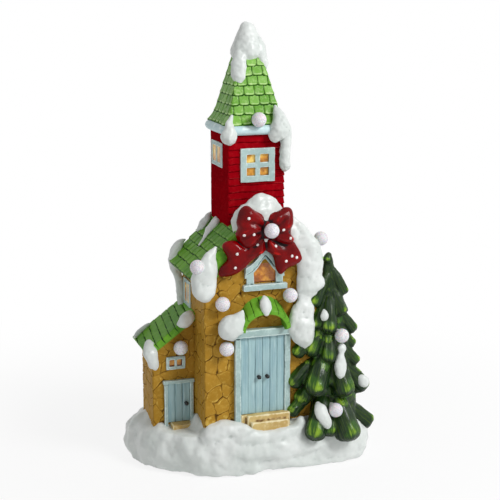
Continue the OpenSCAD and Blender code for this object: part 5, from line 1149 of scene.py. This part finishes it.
mound = {"width": 256, "depth": 140, "height": 54, "low": 1, "wall": 14, "plate": 5.5, "voxel": 1.6,
         "puffs": 17, "trodden": (-96, -66, -70, -8), "treadZ": 42, "tread": 0.92,
         "ripple": [(30, 1.4, 39), (14, 1.7, 33), (7.5, 1.1, 34), (3.6, 0.45, 35), (2, 0.14, 38)]}
moundOutline = [(-0.488, 0.07), (-0.452, -0.121), (-0.352, -0.307), (-0.204, -0.471), (0, -0.5),
                (0.2, -0.479), (0.392, -0.479), (0.476, -0.343), (0.5, 0), (0.472, 0.314), (0.36, 0.471),
                (0.16, 0.5), (-0.12, 0.5), (-0.34, 0.471), (-0.464, 0.357), (-0.5, 0.22)]
moundLevels = [(0, 0.965), (0.12, 0.99), (0.32, 1), (0.55, 0.985), (0.74, 0.94), (0.88, 0.86), (0.97, 0.77),
               (1, 0.66)]
hornSize = (128, 70, 54, 70)
moundLimbs = [
    [(0.26, -0.84, 0.66, 0.12), (0.29, -0.86, 0.84, 0.13), (0.31, -0.87, 0.98, 0.08),
     (0.33, -0.87, 1.04, 0.02)],
    [(0.8, -0.8, 0.35, 0.16), (0.82, -0.8, 0.5, 0.12), (0.83, -0.8, 0.62, 0.07), (0.83, -0.8, 0.72, 0.02)],
    [(-0.53, -0.4, 0.7, 0.16), (-0.53, -0.38, 0.93, 0.12), (-0.53, -0.36, 1.08, 0.07),
     (-0.53, -0.35, 1.18, 0.02)],
    [(-0.5, -0.7, 0.72, 0.12), (-0.42, -0.76, 0.86, 0.14), (-0.32, -0.8, 0.93, 0.13),
     (-0.22, -0.84, 0.92, 0.12), (-0.14, -0.88, 0.84, 0.1), (-0.08, -0.9, 0.76, 0.05)],
    [(-0.3, -0.86, 0.7, 0.05), (-0.2, -0.9, 0.76, 0.12), (-0.02, -0.93, 0.75, 0.12),
     (0.14, -0.93, 0.76, 0.11), (0.26, -0.88, 0.8, 0.09), (0.34, -0.84, 0.78, 0.04)],
    [(-0.55, -0.56, 0.5, 0.18), (-0.32, -0.76, 0.5, 0.22), (0, -0.84, 0.5, 0.23), (0.3, -0.82, 0.5, 0.22),
     (0.6, -0.72, 0.45, 0.18)],
    [(-0.4, -0.68, 0.7, 0.1), (-0.2, -0.8, 0.7, 0.15), (0, -0.84, 0.68, 0.16), (0.2, -0.82, 0.68, 0.15),
     (0.35, -0.78, 0.66, 0.1)]]


def moundShell():
    # rings from the hollow's ceiling out over the rim, up the side and in to the middle of the top
    loop = smoothLoop(moundOutline, 12)
    turn = 2 * math.pi * mound["puffs"] * np.arange(len(loop)) / len(loop)
    size = np.array([mound["width"], mound["depth"]])
    hollow, low, high = size - 2 * mound["wall"], mound["low"], mound["height"]
    rings = [(hollow * share, mound["plate"]) for share in (0.05, 0.6, 1)] + [(hollow, low)]
    for level, spread in smoothRun(moundLevels, 3):
        puff = spread - 0.018 * (1 - np.cos(turn + 7 * level)) / 2
        rings.append((size * puff[:, None], low + level * (high - low)))
    rings += [(size * share, high + 0.5) for share in (0.4, 0.03)]
    return tube(np.array([np.insert(loop * spread, 2, z, axis=1) for spread, z in rings]))


def moundPiece():
    shells = [moundShell()] + [limb(scaled(stops, hornSize)) for stops in moundLimbs]
    points, faces, relief, tone = cast(shells, mound["voxel"], 30, mound["ripple"], 0.5, mound["low"])
    # the snow is trodden down in front of the shed's door
    trodden = box2d(points[:, 0], points[:, 1], *mound["trodden"], 7)
    points[:, 2] -= mound["tread"] * trodden * np.maximum(points[:, 2] - mound["treadZ"], 0)
    return points, faces, relief, tone


makePiece("snowMound", moundPiece(), "snow", "snow_base")
print("mound")


# bow: puffed loops and tails round a knot, with raised white dots

bow = {"back": -56.5, "loop": 14.0, "tail": 10.5, "knot": 8.5, "dot": 1.55, "middle": (0, -62, 256)}
bowParts = [
    ("loop", [(-24.8, 280.1), (-18.7, 280.7), (-10.4, 275.2), (-4, 271), (-1, 263), (-2, 252), (-7, 241),
              (-15, 236), (-23, 239), (-29, 246), (-32, 253), (-29.5, 259), (-31, 265), (-29.2, 273.4)]),
    ("loop", [(3, 270), (12.4, 273.8), (20.8, 277.3), (27.1, 273.9), (27.6, 263), (25.6, 251), (28.5, 243),
              (21, 238), (12, 240), (4, 246), (0, 256)]),
    ("tail", [(3, 236), (0, 246), (-8, 246), (-14, 241), (-23, 241), (-33, 247), (-41.3, 246.4),
              (-45.4, 242.7), (-43.8, 237), (-40.5, 228.5), (-47.5, 219.8), (-48.6, 212.4), (-37.3, 211.2),
              (-24.9, 216), (-14.5, 225.3), (-5, 232)]),
    ("tail", [(-2, 236), (0, 245), (9, 246), (20, 244), (29.5, 241.3), (38.2, 226.8), (37.2, 220.6),
              (23.4, 214.2), (16, 208.8), (11, 215), (7, 229)])]
bowDots = [(-20.7, 269.9), (-25.4, 253.3), (-15.6, 253.6), (-10.4, 242.2), (-32.1, 234.7), (-33.7, 220.7),
           (8.4, 239.8), (14.6, 256.6), (22.6, 247.4), (25.4, 228.4), (30.8, 226.4), (19.1, 223.7)]


def puffed(outline, back, front):
    # rings that shrink to the outline's middle while they rise along an ellipse to the front, and flat behind
    loop = smoothLoop(outline, 8)
    middle = loop.mean(0)
    rings = [(share, back) for share in (0.02, 0.5, 0.85)]
    for a in np.linspace(0, math.pi / 2 - 0.02, 14):
        y = back + (front - back) * (0.25 + 0.75 * math.sin(a))
        rings.append((0.1 + 0.9 * math.cos(a) * (a < 1.5), y))
    return tube(np.array([np.insert(middle + (loop - middle) * share, 1, y, axis=1) for share, y in rings]))


def bowPiece():
    shells = [puffed(outline, bow["back"], bow["back"] - bow[kind]) for kind, outline in bowParts]
    a = np.linspace(0.02, math.pi - 0.02, 14)
    ball = bow["knot"] * np.column_stack([np.sin(a), np.cos(a)])
    knot = tube(spun(ball, 24, (0, -1, 0), (1, 0, 0), (0, 0, 1.1)) + bow["middle"])
    points, faces, relief, tone = cast(shells + [knot], 0.8, 4, [], 1.0)
    normals = skinNormals(points, faces)
    x, z = points[:, 0], points[:, 2] - bow["middle"][2]
    angle, reach = np.arctan2(z, x), np.hypot(x, z)
    # folds fan out from the knot and fade towards the tips
    fading = smoothStep(reach, 7, 12) * (1 - smoothStep(reach, 20, 42))
    fold = np.sin(angle * 9 + 0.6 * np.sin(reach / 6)) * fading
    ahead = smoothStep(-normals[:, 1], 0.1, 0.6)
    points = points + normals * (0.9 * fold * ahead + 0.35 * lumps(points, 6, 41))[:, None]
    # painted shade round the knot and in the folds' front valleys, with painted highlight on the folds' front
    # ridges
    relief = np.clip(relief - 0.1 + 0.3 * fold * ahead - 0.35 * (1 - smoothStep(reach, 7, 14)), 0, 1)
    return points, faces, relief, tone


bowShell = bowPiece()
makePiece("ribbonBow", bowShell, "bow", "bow")


def dotShells():
    # each dot is a low dome, seated where a line from the front meets the ribbon
    surface = BVHTree.FromPolygons(bowShell[0].tolist(), bowShell[1])
    a = np.linspace(0.02, math.pi - 0.02, 9)
    dome = bow["dot"] * np.column_stack([np.sin(a), 0.55 * np.cos(a)])
    shells = []
    for x, z in bowDots:
        hit, normal, _, _ = surface.ray_cast(Vector((x, -120, z)), Vector((0, 1, 0)))
        n = np.array(normal) * (1 if normal.y < 0 else -1)
        shells.append(tube(spun(dome, 14, n, *sideways(n)) + hit))
    return joined(*shells)


makePiece("ribbonDots", dotShells(), "dot")


# fir tree: tiers of blunt boughs with strokes carved into their tips

tree = {"x": 75.5, "y": -44, "foot": 29, "top": 219, "voxel": 1.15, "stroke": 0.8}
treeTips = [
    (72, -46, 217, 5.2), (87.5, -48, 183.5, 6.5), (84.5, -54, 164, 6.8), (56, -53, 176, 7.5),
    (68.5, -59, 149.5, 9.5), (98.5, -47, 142, 7), (58, -53, 152, 8), (99.5, -45, 125, 6),
    (101.5, -49, 107, 6.8), (67.5, -62, 118.5, 9.5), (37.5, -55, 124, 7), (51, -57, 126, 9),
    (53, -66, 89.5, 13), (83, -65, 84.5, 12.5), (109, -50, 80, 10), (33.5, -56, 93, 8), (31.5, -57, 62, 7),
    (50.5, -72, 42.5, 12), (86, -72, 38, 14), (117.5, -47, 37, 9.5), (42, -56, 74, 9), (68, -67, 40, 9),
    (68, -58, 92, 9), (104, -26, 48, 11), (100, -28, 98, 9), (92, -31, 130, 8), (86, -34, 160, 7)]
treeCore = [(78, -44, 34, 30), (78, -44, 60, 29), (78.5, -44, 90, 26), (78, -44, 124, 20),
            (77.5, -44, 151, 16), (76, -44, 173, 12.5), (75, -44, 194, 8.5), (73.8, -44, 207, 6.5),
            (72.6, -44, 218, 4.6), (72.3, -44, 222, 2.5)]
# a bough's stops: at its root 0, bend 1 or tip 2, how far past it, and the radius, in shares of its size
boughRun = ((0, 0, 0.5), (1, 0, 0.85), (2, -0.3, 1.02), (2, 0.3, 1), (2, 0.66, 0.72), (2, 0.84, 0.25))


def treeBoughs():
    # each bough's root on the stem, its bend and its tip, and its size
    for x, y, z, size in treeTips:
        end = np.array([x, y, z], float)
        root = np.array([tree["x"], tree["y"], min(z + 14 + 1.7 * size, tree["top"])])
        yield (root, (root + end) / 2 + [0, 0, size * 0.4], end), size


def treePiece():
    boughs = list(treeBoughs())
    shells = [limb(treeCore, (0, 1, 0), 0.62, 28, 5)]
    for places, size in boughs:
        root, bend, end = places
        out = (end - bend) / np.linalg.norm(end - bend)
        stops = [[*(places[at] + out * size * past), size * wide] for at, past, wide in boughRun]
        shells.append(limb(stops, (root[1] - end[1], end[0] - root[0], 0.1), 0.9, 22, 4))
    points, faces, relief, _ = cast(shells, tree["voxel"], 2, [(6, 0.4, 43)], 0.7)
    normals = skinNormals(points, faces)
    # for each point: how near its nearest bough is, its place along and round it, and how much it faces the
    # front and up, where the painted highlight goes
    nearest = np.zeros((4, len(points)))
    nearest[0] = 1e9
    for (root, bend, end), size in boughs:
        length = np.linalg.norm(end - bend)
        axis = (end - bend) / length
        t = (points - bend) @ axis
        away = points - bend - t[:, None] * axis
        t /= length
        d = np.linalg.norm(away, axis=1) / size + 1.5 * np.clip(-t, 0, None) + 3 * np.clip(t - 1.6, 0, None)
        u, v = sideways(axis)
        out = np.array([end[0] - root[0], end[1] - root[1] - 12, 14.0])
        found = np.stack([d, t, np.arctan2(away @ v, away @ u), normals @ (out / np.linalg.norm(out))])
        nearest = np.where(d < nearest[0], found, nearest)
    _, along, around, lit = nearest
    # fine strokes run along each bough and fan out over its tip; the tips' sides that face the front and up
    # are painted lighter as a painted highlight
    spot = np.stack([np.cos(around), np.sin(around), 0.12 * along], 1)
    deep = 0.3 + 0.7 * smoothStep(along, 0.1, 1.0)
    stroke = deep * (lumps(spot * 3.4, 1, 44) + 0.8 * lumps(spot * 7.5, 1, 48))
    points = points + normals * (tree["stroke"] * stroke)[:, None]
    patchy = 0.2 * lumps(points, 9, 45)
    litTips = smoothStep(along + patchy, 0.5, 1.1) * smoothStep(lit + patchy, 0.42, 1.0)
    points[:, 2] = np.maximum(points[:, 2], tree["foot"])
    return (points, faces, np.clip(relief * 0.6 + 0.13 + 0.16 * stroke + 0.3 * litTips, 0, 1), litTips), spot


treeShell, treeSpot = treePiece()
fir = makePiece("firTree", treeShell, "tree", "christmas_tree").data
spots = fir.attributes.new("spot", "FLOAT_VECTOR", "POINT")
spots.data.foreach_set("vector", treeSpot.astype(np.float32).ravel())
drift("treeSnow", "tree_snow", [limb(stops, flat=0.75) for stops in (
    [(62.5, -60, 169, 1), (62.5, -62, 165.5, 3.6), (62.5, -63, 162, 4.4), (62.5, -63, 158.5, 3),
     (62.5, -63, 157, 1)],
    [(80.5, -64, 131, 2), (81, -66, 127, 4.6), (80, -67, 121, 3), (79, -68, 115, 5.4), (78.5, -69, 107, 6.6),
     (79, -70, 99, 4.6), (79.5, -70, 94, 1.4)],
    [(104, -53, 90, 2), (107.5, -56, 87, 5.6), (111.5, -57, 83, 6), (115, -55, 79, 2)],
    [(54.5, -67, 71, 2), (54.5, -73, 67.5, 6), (56.5, -76, 60.5, 6.6), (60.5, -78, 52.5, 6),
     (63, -78, 46.5, 2.5)])],
      0.7, [(5, 0.6, 46), (2.5, 0.25, 47)])
print("bow and tree")


# frosted globes with their necks

globe = {"radius": 7.5, "neck": 2.6, "neckLength": 7, "dimple": 0.1}
globes = (   # name, node, middle and the way that it faces
    ("steepleGlobe", "steeple_lamp", (0, -38.4, 362), (0, -1, 0)),
    ("bowGlobe", "bow_lamp", (0, -77.5, 258), (0, -1, 0)),
    ("ridgeGlobe", "ridge_lamp", (70.5, -30, 235.5), slopeOut),
    ("eaveGlobe", "eave_lamp", (-70.7, -59.8, 222.8), (-0.577, -0.577, 0.577)),
    ("facadeLeftGlobe", "facade_left_lamp", (-45, -59.5, 183), (0, -1, 0)),
    ("facadeRightGlobe", "facade_right_lamp", (26.4, -59.5, 186.1), (0, -1, 0)),
    ("doorGlobe", "door_lamp", (-41, -59.5, 136.2), (0, -1, 0)),
    ("shedGlobe", "shed_lamp", (-77.8, -19.5, 128.9), (0, -1, 0)),
    ("treeUpperGlobe", "tree_upper_lamp", (80.7, -66.3, 140.3), (0, -1, 0)),
    ("treeLowerGlobe", "tree_lower_lamp", (71.4, -75.6, 63.9), (0, -1, 0)),
)


def globeShell(centre, facing):
    # a frosted ball: rings round the facing axis, with small dimples, closing into its neck
    n = np.asarray(facing, float) / np.linalg.norm(facing)
    u, v = sideways(n, (0.3, 0.1, 1))
    radius, neck, back = globe["radius"], globe["neck"], globe["radius"] + globe["neckLength"]
    a = np.linspace(0.02, math.pi - math.asin(neck / radius), 44)
    ball = spun(np.column_stack([np.sin(a), np.cos(a)]), 56, n, u, v)
    dimple = globe["dimple"] * lumps(ball.reshape(-1, 3) * radius + centre, 1.1, 51)
    ends = spun([(neck, -radius - 0.5), (neck, 0.6 - back), (neck - 0.6, -back)], 56, n, u, v)
    return tube(np.concatenate([ball * (radius - 0.12 + dimple.reshape(*ball.shape[:2], 1)), ends]) + centre)


for name, node, centre, facing in globes:
    makePiece(name, globeShell(centre, facing), "globe", node)
print("globes")


# finishes of the parts that keep their own shape

kept = {
    "base_plate": "plate", "base_screws": "steel", "rubber_feet": "rubber", "lamp_holders": "holder",
    "window_lamps": "bulb", "wiring_harness": "wire", "battery_case": "case", "battery_cells": "cell",
    "battery_contacts": "steel", "battery_door": "case", "hinge_pin": "steel", "switch_body": "case",
    "switch_slider": "slider",
}
for node, key in kept.items():
    part = bpy.data.objects[node]
    if not part.material_slots:
        part.data.materials.append(None)
    for place in part.material_slots:
        place.material = finishes[key]


# floor and backdrop: both show white to the camera, in mirrors and through glass

def makeFloor():
    far, near = studio["floorHalf"], studio["nearWhite"]
    corners = [(-far, -far, 0), (far, -far, 0), (far, far, 0), (-far, far, 0)]
    floor = addMesh("studioFloor", corners, [[0, 1, 2, 3]])
    paint = Paint("paleFloor", Roughness=0.6)
    paint.feed(Base_Color=paint.mix(paint.noise(40, 3) * 0.05, studio["floorColour"], studio["floorSpeck"]))
    reach = paint.node("ShaderNodeVectorMath", {"operation": "LENGTH"}, {0: paint.place()}, output="Value")
    share = near + (1 - near) * paint.between(reach, studio["whiteFrom"], studio["whiteTo"])
    share = (paint.ray("Camera") + paint.ray("Glossy") + paint.ray("Transmission")) * share
    white = paint.node("ShaderNodeEmission", {}, {"Color": (1, 1, 1, 1), "Strength": 1.0})
    own = Wire(paint, paint.shader.outputs[0])
    mixed = paint.node("ShaderNodeMixShader", {}, {0: share, 1: own, 2: white})
    paint.tree.links.new(mixed.socket, paint.find("OUTPUT_MATERIAL").inputs[0])
    floor.data.materials.append(paint.owner)

    sky = Paint("paleSky", True, Color=(1, 1, 1, 1))
    bpy.context.scene.world = sky.owner
    seen = sky.ray("Camera")
    for kind in ("Transmission", "Glossy"):
        seen = sky.node("ShaderNodeMath", {"operation": "MAXIMUM"}, {0: seen, 1: sky.ray(kind)})
    levels = {"Value": seen, "To Min": studio["skyLight"], "To Max": 1}
    sky.feed(Strength=sky.node("ShaderNodeMapRange", {}, levels))


makeFloor()
print("floor and light")
